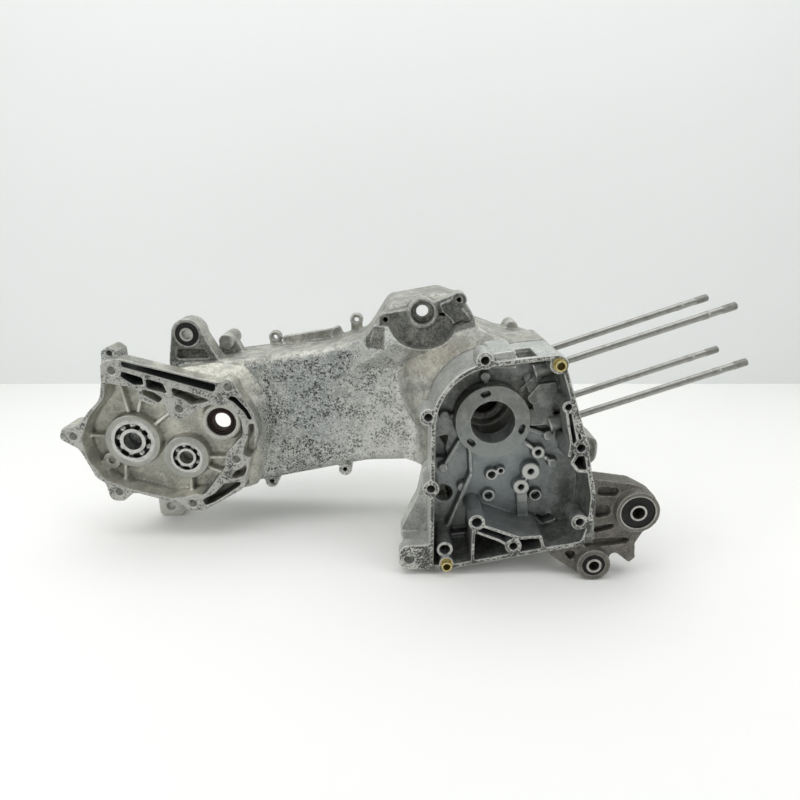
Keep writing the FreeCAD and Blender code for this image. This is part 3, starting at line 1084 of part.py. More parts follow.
os.makedirs("parts", exist_ok=True)
for node, shape in build().items():
    save(node, shape)
    print(node, round(shape.Volume / 1000.0, 1), "cm3", "valid" if shape.isValid() else "INVALID",
          [round(v, 1) for v in (shape.BoundBox.XMin, shape.BoundBox.XMax, shape.BoundBox.YMin,
                                 shape.BoundBox.YMax, shape.BoundBox.ZMin, shape.BoundBox.ZMax)])
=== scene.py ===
"""Looks of the engine crankcase: finishes, refined castings, threads, light and camera."""
import json
import logging
import math
from dataclasses import dataclass
from enum import Enum
from functools import cache
from typing import Optional, Sequence, Union

import bmesh
import bpy
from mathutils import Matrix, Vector


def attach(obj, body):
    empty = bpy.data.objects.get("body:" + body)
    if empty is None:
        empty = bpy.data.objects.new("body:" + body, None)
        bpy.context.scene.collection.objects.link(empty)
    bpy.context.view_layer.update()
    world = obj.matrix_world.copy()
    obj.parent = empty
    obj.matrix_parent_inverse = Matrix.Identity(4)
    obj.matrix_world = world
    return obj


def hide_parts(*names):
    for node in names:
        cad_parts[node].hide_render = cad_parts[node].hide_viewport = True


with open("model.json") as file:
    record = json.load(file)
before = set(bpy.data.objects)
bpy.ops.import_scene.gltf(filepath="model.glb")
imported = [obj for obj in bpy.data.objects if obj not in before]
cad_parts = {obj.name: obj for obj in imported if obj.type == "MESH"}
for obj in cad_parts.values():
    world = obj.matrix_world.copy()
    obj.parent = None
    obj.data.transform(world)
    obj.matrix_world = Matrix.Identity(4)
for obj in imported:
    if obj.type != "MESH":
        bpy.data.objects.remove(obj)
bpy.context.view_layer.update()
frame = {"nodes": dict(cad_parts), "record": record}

LOG = logging.getLogger("crankcase")

Colour = tuple[float, float, float]
Point = tuple[float, float, float]
Band = tuple[float, float]
Socket = bpy.types.NodeSocket
Value = Union[float, Socket]

MM = 0.001

UP: Point = (0.0, 0.0, 1.0)
DOWN: Point = (0.0, 0.0, -1.0)
FRONT: Point = (1.0, 0.0, 0.0)
REAR: Point = (-1.0, 0.0, 0.0)
RIGHT: Point = (0.0, -1.0, 0.0)
LEFT: Point = (0.0, 1.0, 0.0)

# Places of the colour and number sockets on Blender's Mix node
MIX_COLOURS = (6, 7)
MIX_COLOUR_RESULT = 2
MIX_NUMBERS = (2, 3)


def srgb(red: float, green: float, blue: float) -> Colour:
    """Turn a screen colour, 0 to 255, into the linear colour that shaders take.

    Args:
        red: Red on the screen.
        green: Green on the screen.
        blue: Blue on the screen.

    Returns:
        The linear colour.
    """
    def linear(value: float) -> float:
        """Linear value of one screen value, by the standard screen curve."""
        share = value / 255.0
        return share / 12.92 if share <= 0.04045 else ((share + 0.055) / 1.055) ** 2.4
    return (linear(red), linear(green), linear(blue))


class Plane(Enum):
    """Machined planes across the engine, as places along Y in metres."""

    COVER_JOINT = -28.0 * MM
    FLANGE = 0.0
    GEAR_JOINT = 45.0 * MM
    SEAL_BOSS = 50.0 * MM
    BEARING_BOSS = 57.0 * MM
    BELT_JOINT = 150.0 * MM


class Kind(Enum):
    """Socket types of the shared node groups."""

    NUMBER = "NodeSocketFloat"
    VECTOR = "NodeSocketVector"
    COLOUR = "NodeSocketColor"


@dataclass(frozen=True)
class Waves:
    """Fractal noise: waves per metre, octaves, and the share that each octave keeps."""

    scale: float
    detail: float
    rough: float


@dataclass(frozen=True)
class SkinPattern:
    """Waves and limits of the blotches, stains, pits, chips and sand grain of a casting."""

    blotches: Waves = Waves(17.0, 4.0, 0.6)
    clouds: Waves = Waves(95.0, 5.0, 0.68)
    pits: Waves = Waves(540.0, 4.0, 0.74)
    sand: Waves = Waves(1300.0, 2.0, 0.5)
    patches: Waves = Waves(42.0, 6.0, 0.76)
    blotch_share: float = 0.4
    cloud_share: float = 0.6
    light_band: Band = (0.43, 0.6)
    tint_band: Band = (0.42, 0.56)
    patch_band: Band = (0.42, 0.58)
    patch_lift: float = 0.085
    pit_band: Band = (0.588, 0.625)
    stain_band: Band = (0.56, 0.7)
    stain_share: float = 0.3
    chip_band: Band = (0.43, 0.36)
    chip_share: float = 0.8
    sand_band: Band = (0.3, 0.75)
    sand_share: float = 0.14
    least_roughness: float = 0.30
    cloud_roughness: float = 0.32
    dirt_roughness: float = 0.22
    sand_relief: float = 0.45
    pit_relief: float = 0.55
    pit_depth: float = 0.5


@dataclass(frozen=True)
class WearPattern:
    """Limits of the worn edges, which also paint edge highlights, and of the painted shade in corners: a flat
    surface has a pointiness of 0.5.
    """

    broken: Waves = Waves(240.0, 4.0, 0.65)
    edge_bend: Band = (0.509, 0.548)
    edge_breaks: Band = (0.3, 0.52)
    corner_bend: Band = (0.492, 0.45)
    corner_breaks: Band = (0.2, 0.5)


@dataclass(frozen=True)
class ScrapPattern:
    """Waves and limits of the torn sealing scraps on a joint face."""

    broad: Waves = Waves(60.0, 3.0, 0.6)
    torn: Waves = Waves(460.0, 4.0, 0.74)
    broad_share: float = 0.35
    torn_share: float = 0.65
    bare_limit: float = 0.66
    limit_drop: float = 0.3
    contrast: float = 16.0


class Graph:
    """Short hand for building a shader node tree."""

    def __init__(self, tree: bpy.types.NodeTree) -> None:
        """Keep the tree that the nodes go into."""
        self.tree = tree

    def node(self, kind: str, **settings: object) -> bpy.types.Node:
        """Add a node and set its plain properties.

        Args:
            kind: Blender's name of the node type.
            settings: Properties of the node.

        Returns:
            The new node.
        """
        made = self.tree.nodes.new(kind)
        for name, value in settings.items():
            setattr(made, name, value)
        return made

    def feed(self, target: Socket, value: Union[Value, Sequence[float]]) -> None:
        """Link a socket, or set a plain value, on an input.

        Args:
            target: The input to feed.
            value: A socket, a number, a vector or a colour.
        """
        if isinstance(value, bpy.types.NodeSocket):
            self.tree.links.new(value, target)
        elif isinstance(value, (int, float)):
            target.default_value = value
        elif target.type == "RGBA":
            target.default_value = (*value[:3], 1.0)
        else:
            target.default_value = tuple(value)

    def math(self, operation: str, first: Value, second: Value = 0.0, clamp: bool = False) -> Socket:
        """Add a math node.

        Args:
            operation: Blender's name of the operation.
            first: First operand.
            second: Second operand.
            clamp: Whether the result is kept from 0 to 1.

        Returns:
            The result.
        """
        made = self.node("ShaderNodeMath", operation=operation, use_clamp=clamp)
        self.feed(made.inputs[0], first)
        self.feed(made.inputs[1], second)
        return made.outputs[0]

    def vector(self, operation: str, first: Socket, second: Union[Socket, Point] = (0.0, 0.0, 0.0)
               ) -> bpy.types.Node:
        """Add a vector math node.

        Args:
            operation: Blender's name of the operation.
            first: First vector.
            second: Second vector, where the operation takes two.

        Returns:
            The node, with a vector and a value among its outputs.
        """
        made = self.node("ShaderNodeVectorMath", operation=operation)
        self.feed(made.inputs[0], first)
        self.feed(made.inputs[1], second)
        return made

    def product(self, *factors: Value) -> Value:
        """Multiply several values."""
        result = factors[0]
        for factor in factors[1:]:
            result = self.math("MULTIPLY", result, factor)
        return result

    def largest(self, *values: Value) -> Value:
        """Largest of several values."""
        result = values[0]
        for value in values[1:]:
            result = self.math("MAXIMUM", result, value)
        return result

    def inverse(self, value: Value) -> Socket:
        """One minus a value."""
        return self.math("SUBTRACT", 1.0, value, clamp=True)

    def soft_edge(self, inside: Socket, softness: Socket) -> Socket:
        """Mask that rises from 0 to 1 across an edge, by the distance inside it."""
        return self.math("ADD", self.math("DIVIDE", inside, softness), 0.5, clamp=True)

    def mix(self, share: Value, first: Union[Socket, Colour], second: Union[Socket, Colour]) -> Socket:
        """Mix two colours.

        Args:
            share: How much of the second colour.
            first: First colour.
            second: Second colour.

        Returns:
            The mixed colour.
        """
        made = self.node("ShaderNodeMix", data_type="RGBA", clamp_factor=True)
        self.feed(made.inputs[0], share)
        for index, colour in zip(MIX_COLOURS, (first, second)):
            self.feed(made.inputs[index], colour)
        return made.outputs[MIX_COLOUR_RESULT]

    def blend(self, share: Value, first: Value, second: Value) -> Socket:
        """Mix two numbers by a share of the second."""
        made = self.node("ShaderNodeMix", data_type="FLOAT", clamp_factor=True)
        self.feed(made.inputs[0], share)
        for index, number in zip(MIX_NUMBERS, (first, second)):
            self.feed(made.inputs[index], number)
        return made.outputs[0]

    def step(self, value: Value, band: Band) -> Socket:
        """Smooth step from 0 at the band's first value to 1 at its second, which may be the lower."""
        made = self.node("ShaderNodeMapRange", interpolation_type="SMOOTHSTEP", clamp=True)
        self.feed(made.inputs[0], value)
        for socket, limit in zip(made.inputs[1:5], (*band, 0.0, 1.0)):
            socket.default_value = limit
        return made.outputs[0]

    def noise(self, place: Socket, waves: Waves) -> Socket:
        """Fractal noise from 0 to 1.

        Args:
            place: Position socket.
            waves: Its scale, octaves and roughness.

        Returns:
            The noise value.
        """
        made = self.node("ShaderNodeTexNoise")
        self.feed(made.inputs["Vector"], place)
        made.inputs["Scale"].default_value = waves.scale
        made.inputs["Detail"].default_value = waves.detail
        made.inputs["Roughness"].default_value = waves.rough
        return made.outputs["Fac"]

    def place(self) -> Socket:
        """Position in the object's own frame, which follows a moving body."""
        return self.node("ShaderNodeTexCoord").outputs["Object"]

    def split(self, vector: Socket) -> tuple[Socket, Socket, Socket]:
        """Parts of a vector along X, Y and Z."""
        made = self.node("ShaderNodeSeparateXYZ")
        self.feed(made.inputs[0], vector)
        return made.outputs[0], made.outputs[1], made.outputs[2]


class Effect:
    """Shader node groups that several finishes share, each built once."""

    @staticmethod
    def _group(name: str, inputs: Sequence[tuple[str, Kind, object]], outputs: Sequence[tuple[str, Kind]]
               ) -> tuple[bpy.types.NodeTree, Graph, bpy.types.Node, bpy.types.Node]:
        """Make an empty group with named sockets.

        Args:
            name: Name of the group.
            inputs: Name, socket type and default of each input.
            outputs: Name and socket type of each output.

        Returns:
            The tree, its graph, its input node and its output node.
        """
        tree = bpy.data.node_groups.new(name, "ShaderNodeTree")
        for label, kind, value in inputs:
            made = tree.interface.new_socket(name=label, in_out="INPUT", socket_type=kind.value)
            made.default_value = (*value, 1.0) if kind is Kind.COLOUR else value
        for label, kind in outputs:
            tree.interface.new_socket(name=label, in_out="OUTPUT", socket_type=kind.value)
        graph = Graph(tree)
        return tree, graph, graph.node("NodeGroupInput"), graph.node("NodeGroupOutput")

    @staticmethod
    @cache
    def zone_box() -> bpy.types.NodeTree:
        """Soft mask of a box in the object's frame."""
        tree, graph, given, result = Effect._group(
            "Zone Box",
            [("Centre", Kind.VECTOR, (0.0, 0.0, 0.0)), ("Half", Kind.VECTOR, (1.0, 1.0, 1.0)),
             ("Softness", Kind.NUMBER, 0.002)],
            [("Mask", Kind.NUMBER)])
        offset = graph.vector("SUBTRACT", graph.place(), given.outputs["Centre"])
        sides = []
        for distance, size in zip(graph.split(offset.outputs[0]), graph.split(given.outputs["Half"])):
            inside = graph.math("SUBTRACT", size, graph.math("ABSOLUTE", distance))
            sides.append(graph.soft_edge(inside, given.outputs["Softness"]))
        graph.feed(result.inputs["Mask"], graph.product(*sides))
        return tree

    @staticmethod
    @cache
    def zone_drum() -> bpy.types.NodeTree:
        """Soft mask of a cylinder along Y."""
        tree, graph, given, result = Effect._group(
            "Zone Drum",
            [("Centre", Kind.VECTOR, (0.0, 0.0, 0.0)), ("Radius", Kind.NUMBER, 0.01),
             ("Softness", Kind.NUMBER, 0.001)],
            [("Mask", Kind.NUMBER)])
        offset = graph.vector("SUBTRACT", graph.place(), given.outputs["Centre"])
        flat = graph.vector("MULTIPLY", offset.outputs[0], (1.0, 0.0, 1.0))
        length = graph.vector("LENGTH", flat.outputs[0])
        inside = graph.math("SUBTRACT", given.outputs["Radius"], length.outputs["Value"])
        graph.feed(result.inputs["Mask"], graph.soft_edge(inside, given.outputs["Softness"]))
        return tree

    @staticmethod
    @cache
    def zone_plane() -> bpy.types.NodeTree:
        """Soft mask of the side of a plane that its normal points to."""
        tree, graph, given, result = Effect._group(
            "Zone Plane",
            [("Point", Kind.VECTOR, (0.0, 0.0, 0.0)), ("Normal", Kind.VECTOR, (0.0, 0.0, 1.0)),
             ("Softness", Kind.NUMBER, 0.001)],
            [("Mask", Kind.NUMBER)])
        offset = graph.vector("SUBTRACT", graph.place(), given.outputs["Point"])
        inside = graph.vector("DOT_PRODUCT", offset.outputs[0], given.outputs["Normal"])
        graph.feed(result.inputs["Mask"], graph.soft_edge(inside.outputs["Value"], given.outputs["Softness"]))
        return tree

    @staticmethod
    @cache
    def facing() -> bpy.types.NodeTree:
        """Mask of the surfaces whose normal points a given way."""
        tree, graph, given, result = Effect._group(
            "Facing",
            [("Way", Kind.VECTOR, (0.0, -1.0, 0.0)), ("From", Kind.NUMBER, 0.7), ("To", Kind.NUMBER, 0.95)],
            [("Mask", Kind.NUMBER)])
        normal = graph.node("ShaderNodeNewGeometry").outputs["Normal"]
        likeness = graph.vector("DOT_PRODUCT", normal, given.outputs["Way"])
        span = graph.math("SUBTRACT", given.outputs["To"], given.outputs["From"])
        above = graph.math("SUBTRACT", likeness.outputs["Value"], given.outputs["From"])
        graph.feed(result.inputs["Mask"], graph.math("DIVIDE", above, span, clamp=True))
        return tree

    @staticmethod
    @cache
    def cast_skin() -> bpy.types.NodeTree:
        """Mottled oxide, dark corrosion specks and fine sand grain of a casting."""
        tree, graph, given, result = Effect._group(
            "Cast Skin",
            [("Light", Kind.COLOUR, (0.6, 0.6, 0.6)), ("Base", Kind.COLOUR, (0.4, 0.4, 0.4)),
             ("Dark", Kind.COLOUR, (0.1, 0.1, 0.1)), ("Tint", Kind.COLOUR, (0.3, 0.32, 0.34)),
             ("Tinting", Kind.NUMBER, 0.0), ("Mottle", Kind.NUMBER, 0.5),
             ("Specks", Kind.NUMBER, 0.5), ("Grain", Kind.NUMBER, 1.0)],
            [("Color", Kind.COLOUR), ("Roughness", Kind.NUMBER), ("Height", Kind.NUMBER)])
        pattern = SkinPattern()
        amount = given.outputs["Specks"]
        place = graph.place()
        broad = graph.noise(place, pattern.blotches)
        cloud = graph.noise(place, pattern.clouds)
        grit = graph.noise(place, pattern.pits)
        sand = graph.noise(place, pattern.sand)
        sum_of_waves = graph.math("ADD", graph.product(broad, pattern.blotch_share),
                                  graph.product(cloud, pattern.cloud_share))
        light = graph.product(graph.step(sum_of_waves, pattern.light_band), given.outputs["Mottle"])
        colour = graph.mix(light, given.outputs["Base"], given.outputs["Light"])
        tint = graph.product(graph.step(broad, pattern.tint_band), given.outputs["Tinting"])
        colour = graph.mix(tint, colour, given.outputs["Tint"])
        patches = graph.step(graph.noise(place, pattern.patches), pattern.patch_band)
        pitted = graph.math("ADD", grit, graph.product(patches, pattern.patch_lift))
        specks = graph.product(graph.step(pitted, pattern.pit_band), amount)
        stains = graph.product(graph.step(cloud, pattern.stain_band), pattern.stain_share, amount)
        dark = graph.largest(specks, stains)
        colour = graph.mix(dark, colour, given.outputs["Dark"])
        chips = graph.product(graph.step(grit, pattern.chip_band), amount, pattern.chip_share)
        colour = graph.mix(chips, colour, given.outputs["Light"])
        fine = graph.product(graph.step(sand, pattern.sand_band), pattern.sand_share)
        graph.feed(result.inputs["Color"], graph.mix(fine, colour, given.outputs["Light"]))
        rough = graph.math("ADD", pattern.least_roughness, graph.product(cloud, pattern.cloud_roughness))
        rough = graph.math("ADD", rough, graph.product(dark, pattern.dirt_roughness), clamp=True)
        graph.feed(result.inputs["Roughness"], rough)
        relief = graph.math("ADD", graph.product(sand, pattern.sand_relief),
                            graph.product(grit, pattern.pit_relief))
        relief = graph.math("SUBTRACT", relief, graph.product(specks, pattern.pit_depth))
        graph.feed(result.inputs["Height"], graph.product(relief, given.outputs["Grain"]))
        return tree

    @staticmethod
    @cache
    def edge_wear_and_shade() -> bpy.types.NodeTree:
        """Masks of the worn edges, lightened also as painted edge highlights, and of the painted shade in the
        corners of a mesh.
        """
        tree, graph, given, result = Effect._group(
            "Edge Wear",
            [("Wear", Kind.NUMBER, 0.6), ("Grime", Kind.NUMBER, 0.7)],
            [("Edge", Kind.NUMBER), ("Corner", Kind.NUMBER)])
        pattern = WearPattern()
        bend = graph.node("ShaderNodeNewGeometry").outputs["Pointiness"]
        broken = graph.noise(graph.place(), pattern.broken)
        edge_breaks = graph.step(broken, pattern.edge_breaks)
        edge = graph.product(graph.step(bend, pattern.edge_bend), edge_breaks, given.outputs["Wear"])
        corner_breaks = graph.step(broken, pattern.corner_breaks)
        corner = graph.product(graph.step(bend, pattern.corner_bend), corner_breaks, given.outputs["Grime"])
        graph.feed(result.inputs["Edge"], edge)
        graph.feed(result.inputs["Corner"], corner)
        return tree

    @staticmethod
    @cache
    def joint_scraps() -> bpy.types.NodeTree:
        """Mask of the old sealing scraps that stick to a machined joint face."""
        tree, graph, given, result = Effect._group(
            "Joint Scraps", [("Amount", Kind.NUMBER, 0.5)], [("Mask", Kind.NUMBER)])
        pattern = ScrapPattern()
        place = graph.place()
        broad = graph.product(graph.noise(place, pattern.broad), pattern.broad_share)
        torn = graph.product(graph.noise(place, pattern.torn), pattern.torn_share)
        drop = graph.product(given.outputs["Amount"], pattern.limit_drop)
        limit = graph.math("SUBTRACT", pattern.bare_limit, drop)
        above = graph.math("SUBTRACT", graph.math("ADD", broad, torn), limit)
        graph.feed(result.inputs["Mask"], graph.math("MULTIPLY", above, pattern.contrast, clamp=True))
        return tree


class Zone:
    """A soft region of the part that a finish picks out."""

    def mask(self, shader: "Shader") -> Socket:
        """Mask of the region in a material, 1 inside it and 0 outside."""
        raise NotImplementedError


class Shader:
    """A material with one Principled surface and the groups placed in it."""

    def __init__(self, name: str) -> None:
        """Start an empty material."""
        self.material = bpy.data.materials.new(name)
        self.material.use_nodes = True
        tree = self.material.node_tree
        tree.nodes.clear()
        self.graph = Graph(tree)
        self.surface = self.graph.node("ShaderNodeBsdfPrincipled")
        output = self.graph.node("ShaderNodeOutputMaterial")
        self.graph.feed(output.inputs["Surface"], self.surface.outputs["BSDF"])

    def effect(self, tree: bpy.types.NodeTree, **inputs: object) -> bpy.types.Node:
        """Place a group and set its inputs.

        Args:
            tree: The group.
            inputs: Values or sockets by input name.

        Returns:
            The group's node.
        """
        made = self.graph.node("ShaderNodeGroup", node_tree=tree)
        for name, value in inputs.items():
            self.graph.feed(made.inputs[name], value)
        return made

    def _masks(self, parts: Sequence[Union[Zone, Value]]) -> list[Value]:
        """Masks of zones, with masks and shares left as they are."""
        return [part.mask(self) if isinstance(part, Zone) else part for part in parts]

    def inside(self, *parts: Union[Zone, Value]) -> Value:
        """Mask of what lies in all of several zones, masks and shares."""
        return self.graph.product(*self._masks(parts))

    def among(self, *parts: Union[Zone, Value]) -> Value:
        """Mask of what lies in any of several zones, masks and shares."""
        return self.graph.largest(*self._masks(parts))

    def finish(self, colour: Union[Socket, Colour], metallic: Value, roughness: Value,
               height: Optional[Socket] = None, depth: float = 0.1) -> bpy.types.Material:
        """Feed the surface and return the material.

        Args:
            colour: Base colour.
            metallic: How metallic it is.
            roughness: How rough it is.
            height: Relief, if any.
            depth: Depth of the relief in millimetres.

        Returns:
            The material.
        """
        self.graph.feed(self.surface.inputs["Base Color"], colour)
        self.graph.feed(self.surface.inputs["Metallic"], metallic)
        self.graph.feed(self.surface.inputs["Roughness"], roughness)
        if height is not None:
            bump = self.graph.node("ShaderNodeBump")
            bump.inputs["Strength"].default_value = 1.0
            bump.inputs["Distance"].default_value = depth * MM
            self.graph.feed(bump.inputs["Height"], height)
            self.graph.feed(self.surface.inputs["Normal"], bump.outputs["Normal"])
        return self.material


@dataclass(frozen=True)
class Box(Zone):
    """Box by its corners, with the softness of its edge, in millimetres."""

    low: Point
    high: Point
    soft: float = 2.0

    def mask(self, shader: Shader) -> Socket:
        """Mask of the box."""
        centre = [0.5 * (a + b) * MM for a, b in zip(self.low, self.high)]
        half = [0.5 * abs(b - a) * MM for a, b in zip(self.low, self.high)]
        return shader.effect(Effect.zone_box(), Centre=centre, Half=half,
                             Softness=self.soft * MM).outputs["Mask"]


@dataclass(frozen=True)
class Drum(Zone):
    """Cylinder along Y by the place of its axis, its radius and its softness, in millimetres."""

    x: float
    z: float
    radius: float
    soft: float = 1.0

    def mask(self, shader: Shader) -> Socket:
        """Mask of the cylinder."""
        return shader.effect(Effect.zone_drum(), Centre=(self.x * MM, 0.0, self.z * MM),
                             Radius=self.radius * MM, Softness=self.soft * MM).outputs["Mask"]


@dataclass(frozen=True)
class Side(Zone):
    """Side of a plane that its normal points to, by a point and a softness in millimetres."""

    point: Point
    normal: Point
    soft: float = 1.0

    def mask(self, shader: Shader) -> Socket:
        """Mask of that side."""
        way = Vector(self.normal).normalized()
        return shader.effect(Effect.zone_plane(), Point=[v * MM for v in self.point], Normal=tuple(way),
                             Softness=self.soft * MM).outputs["Mask"]


@dataclass(frozen=True)
class Facing(Zone):
    """Surfaces that face a way, from a cosine where the mask starts to one where it is full."""

    way: Point
    start: float = 0.7
    full: float = 0.95

    def mask(self, shader: Shader) -> Socket:
        """Mask of those surfaces."""
        return shader.effect(Effect.facing(), Way=self.way, From=self.start, To=self.full).outputs["Mask"]


@dataclass(frozen=True)
class Level(Zone):
    """What lies near a machined plane across the engine, within a reach in millimetres."""

    plane: Plane
    reach: float = 0.5
    outer_share: float = 1.4
    inner_share: float = 0.7

    def mask(self, shader: Shader) -> Socket:
        """Mask of what lies near the plane."""
        graph = shader.graph
        _, along, _ = graph.split(graph.place())
        off = graph.math("ABSOLUTE", graph.math("SUBTRACT", along, self.plane.value))
        return graph.step(off, (self.reach * self.outer_share * MM, self.reach * self.inner_share * MM))


Zones = tuple[Zone, ...]


@dataclass(frozen=True)
class LeftCastingFinish:
    """Weathered cast aluminium of the left half, with its clean and its dirty zones."""

    wall_light: Colour = srgb(232, 232, 226)
    wall_base: Colour = srgb(146, 149, 145)
    wall_dark: Colour = srgb(34, 38, 40)
    wall_blue: Colour = srgb(116, 124, 128)
    clean_base: Colour = srgb(200, 201, 196)
    top_light: Colour = srgb(198, 198, 190)
    top_base: Colour = srgb(140, 141, 134)
    top_dark: Colour = srgb(104, 94, 78)
    beige: Colour = srgb(138, 128, 106)
    recess: Colour = srgb(84, 86, 84)
    recess_dark: Colour = srgb(50, 52, 52)
    # Gear room tones: cast grey raised to paint in the light and sheen of the room.
    gear_light_painted_sheen: Colour = srgb(222, 220, 208)
    gear_base_painted_light: Colour = srgb(168, 168, 159)
    gear_dark: Colour = srgb(62, 67, 68)
    face: Colour = srgb(172, 172, 166)
    # Bright metal of worn edges, also painted edge highlights and painted light in the bolt holes.
    bright: Colour = srgb(222, 222, 218)
    boss_face: Colour = srgb(138, 141, 136)
    scraps: Colour = srgb(52, 55, 55)
    # Painted shade for the inside of the slots.
    painted_slot_shade: Colour = srgb(66, 74, 74)

    forward: Zone = Side((-142.0, 0.0, -40.0), (1.0, 0.0, -0.35), 70.0)
    upward: Zone = Facing(UP, 0.25, 0.75)
    shoulder: Zones = (Box((-82.0, 39.0, -140.0), (130.0, 73.5, 60.0), 8.0), Drum(-10.0, 24.0, 80.0, 10.0))
    shoulder_depth: Zones = (Side((0.0, 73.5, 0.0), RIGHT, 3.0), Side((0.0, 39.0, 0.0), LEFT))
    raised_top: Zones = (Side((0.0, 0.0, 44.0), UP, 6.0), Side((0.0, 84.0, 0.0), LEFT, 2.0))
    stained: Zones = (Box((-100.0, 40.0, 32.0), (-20.0, 73.0, 66.0), 14.0), Facing(UP, -0.2, 0.5))
    shock_lug: Zones = (Box((-345.0, 80.0, 40.0), (-280.0, 112.0, 92.0)), Facing(RIGHT, 0.3, 0.8))
    gear_room: Zones = (Box((-447.0, 46.0, -122.0), (-220.0, 74.5, 46.0), 1.5),
                        Side((-242.0, 0.0, 0.0), REAR, 18.0))
    starter_seat: Zones = (Box((-126.0, 54.0, 60.0), (-14.0, 76.0, 119.0), 1.2), Facing(RIGHT, 0.2, 0.6))
    long_slots: Zones = (Box((-384.0, 46.2, 0.0), (-276.0, 66.0, 52.0), 0.8),
                         Side((-378.0, 0.0, 26.5), (0.2, 0.0, 1.0), 2.0),
                         Side((-375.0, 0.0, 51.2), (-0.25, 0.0, -0.968), 0.5))
    arc_slot: Zones = (Box((-270.0, 46.5, -14.0), (-240.0, 66.0, 14.0), 0.8), Drum(-279.2, -17.2, 37.0))
    arc_slot_core: Zone = Drum(-279.2, -17.2, 27.0)
    corner_slot: Zone = Box((-306.0, 46.5, -114.0), (-258.0, 66.0, -82.0), 0.8)
    rest_lug: Zone = Box((-384.0, 90.0, -153.0), (-340.0, 120.0, -112.0), 1.5)
    gear_case: Zone = Box((-470.0, 40.0, -130.0), (-230.0, 80.0, 60.0))
    gear_joint: Zones = (Level(Plane.GEAR_JOINT), Box((-470.0, 40.0, -130.0), (-230.0, 50.0, 60.0)))
    belt_joint: Zones = (Level(Plane.BELT_JOINT), Facing(LEFT))
    bearing_bosses: Zones = (Level(Plane.BEARING_BOSS), Box((-420.0, 50.0, -100.0), (-290.0, 60.0, 0.0)))
    seal_boss: Zones = (Level(Plane.SEAL_BOSS), Drum(-279.2, -17.2, 21.0))
    dirty_top: Zone = Side((-300.0, 0.0, 16.0), (0.5, 0.0, 0.9), 30.0)

    # Places of the bolt holes whose insides take painted light.
    hole_reach: float = 4.9
    hole_soft: float = 0.4
    gear_holes: tuple[tuple[float, float], ...] = (
        (-386.0, 40.1), (-435.8, -31.6), (-395.4, -95.7), (-316.9, -109.6), (-265.4, -57.6), (-267.9, 22.2),
        (-320.8, -1.0))

    stain_share: float = 0.45
    corner_slot_shade_share: float = 0.8
    slot_shade_share: float = 0.85
    boss_share: float = 0.7
    seal_boss_share: float = 0.6
    least_dirt: float = 0.45
    scraps_clean: float = 0.42
    scraps_dirty: float = 0.64
    scraps_share: float = 0.9
    rubbed_off: float = 1.6
    face_roughness: float = 0.34
    scraps_roughness: float = 0.7
    metal: float = 0.7
    scraps_metal: float = 0.1
    relief: float = 0.16

    def _cast_colour(self, shader: Shader, wall: bpy.types.Node) -> Socket:
        """Colour of the cast surfaces, zone by zone.

        Args:
            shader: The material.
            wall: Skin of the long wall.

        Returns:
            The colour.
        """
        graph = shader.graph
        skin = Effect.cast_skin()
        clean = shader.effect(skin, Light=self.wall_light, Base=self.clean_base, Dark=self.wall_dark,
                              Mottle=0.75, Specks=0.6, Grain=1.0).outputs["Color"]
        top = shader.effect(skin, Light=self.top_light, Base=self.top_base, Dark=self.top_dark,
                            Mottle=0.85, Specks=0.3, Grain=0.8).outputs["Color"]
        gear_painted_light = shader.effect(skin, Light=self.gear_light_painted_sheen, Base=self.gear_base_painted_light, Dark=self.gear_dark,
                             Mottle=0.75, Specks=0.22, Grain=0.7).outputs["Color"]
        recess = shader.effect(skin, Light=self.gear_base_painted_light, Base=self.recess, Dark=self.recess_dark,
                               Mottle=0.5, Specks=0.6, Grain=1.0).outputs["Color"]
        colour = graph.mix(shader.inside(self.forward), wall.outputs["Color"], clean)
        colour = graph.mix(shader.inside(self.upward), colour, top)
        sweep = shader.inside(shader.among(*self.shoulder), *self.shoulder_depth)
        colour = graph.mix(shader.among(sweep, shader.inside(*self.raised_top)), colour, top)
        colour = graph.mix(shader.inside(*self.stained, self.stain_share), colour, self.beige)
        colour = graph.mix(shader.inside(*self.shock_lug), colour, recess)
        # Painted light: the gear room's skin is lifted above its cast tone.
        colour = graph.mix(shader.inside(*self.gear_room), colour, gear_painted_light)
        colour = graph.mix(shader.inside(*self.starter_seat), colour, recess)
        # Painted shade: the slots are darkened to stand for the shade inside them.
        arc_slot = shader.inside(*self.arc_slot, graph.inverse(shader.inside(self.arc_slot_core)))
        corner_slot = shader.inside(self.corner_slot, self.corner_slot_shade_share)
        slot_shade = shader.among(shader.inside(*self.long_slots), arc_slot, corner_slot)
        colour = graph.mix(shader.inside(slot_shade, self.slot_shade_share), colour, self.painted_slot_shade)
        colour = graph.mix(shader.inside(self.rest_lug), colour, self.top_light)
        # Painted light: the bolt holes are lightened inside to stand for light in them.
        hole_light = shader.among(*(Drum(x, z, self.hole_reach, self.hole_soft) for x, z in self.gear_holes))
        return graph.mix(shader.inside(hole_light, self.gear_case), colour, self.bright)

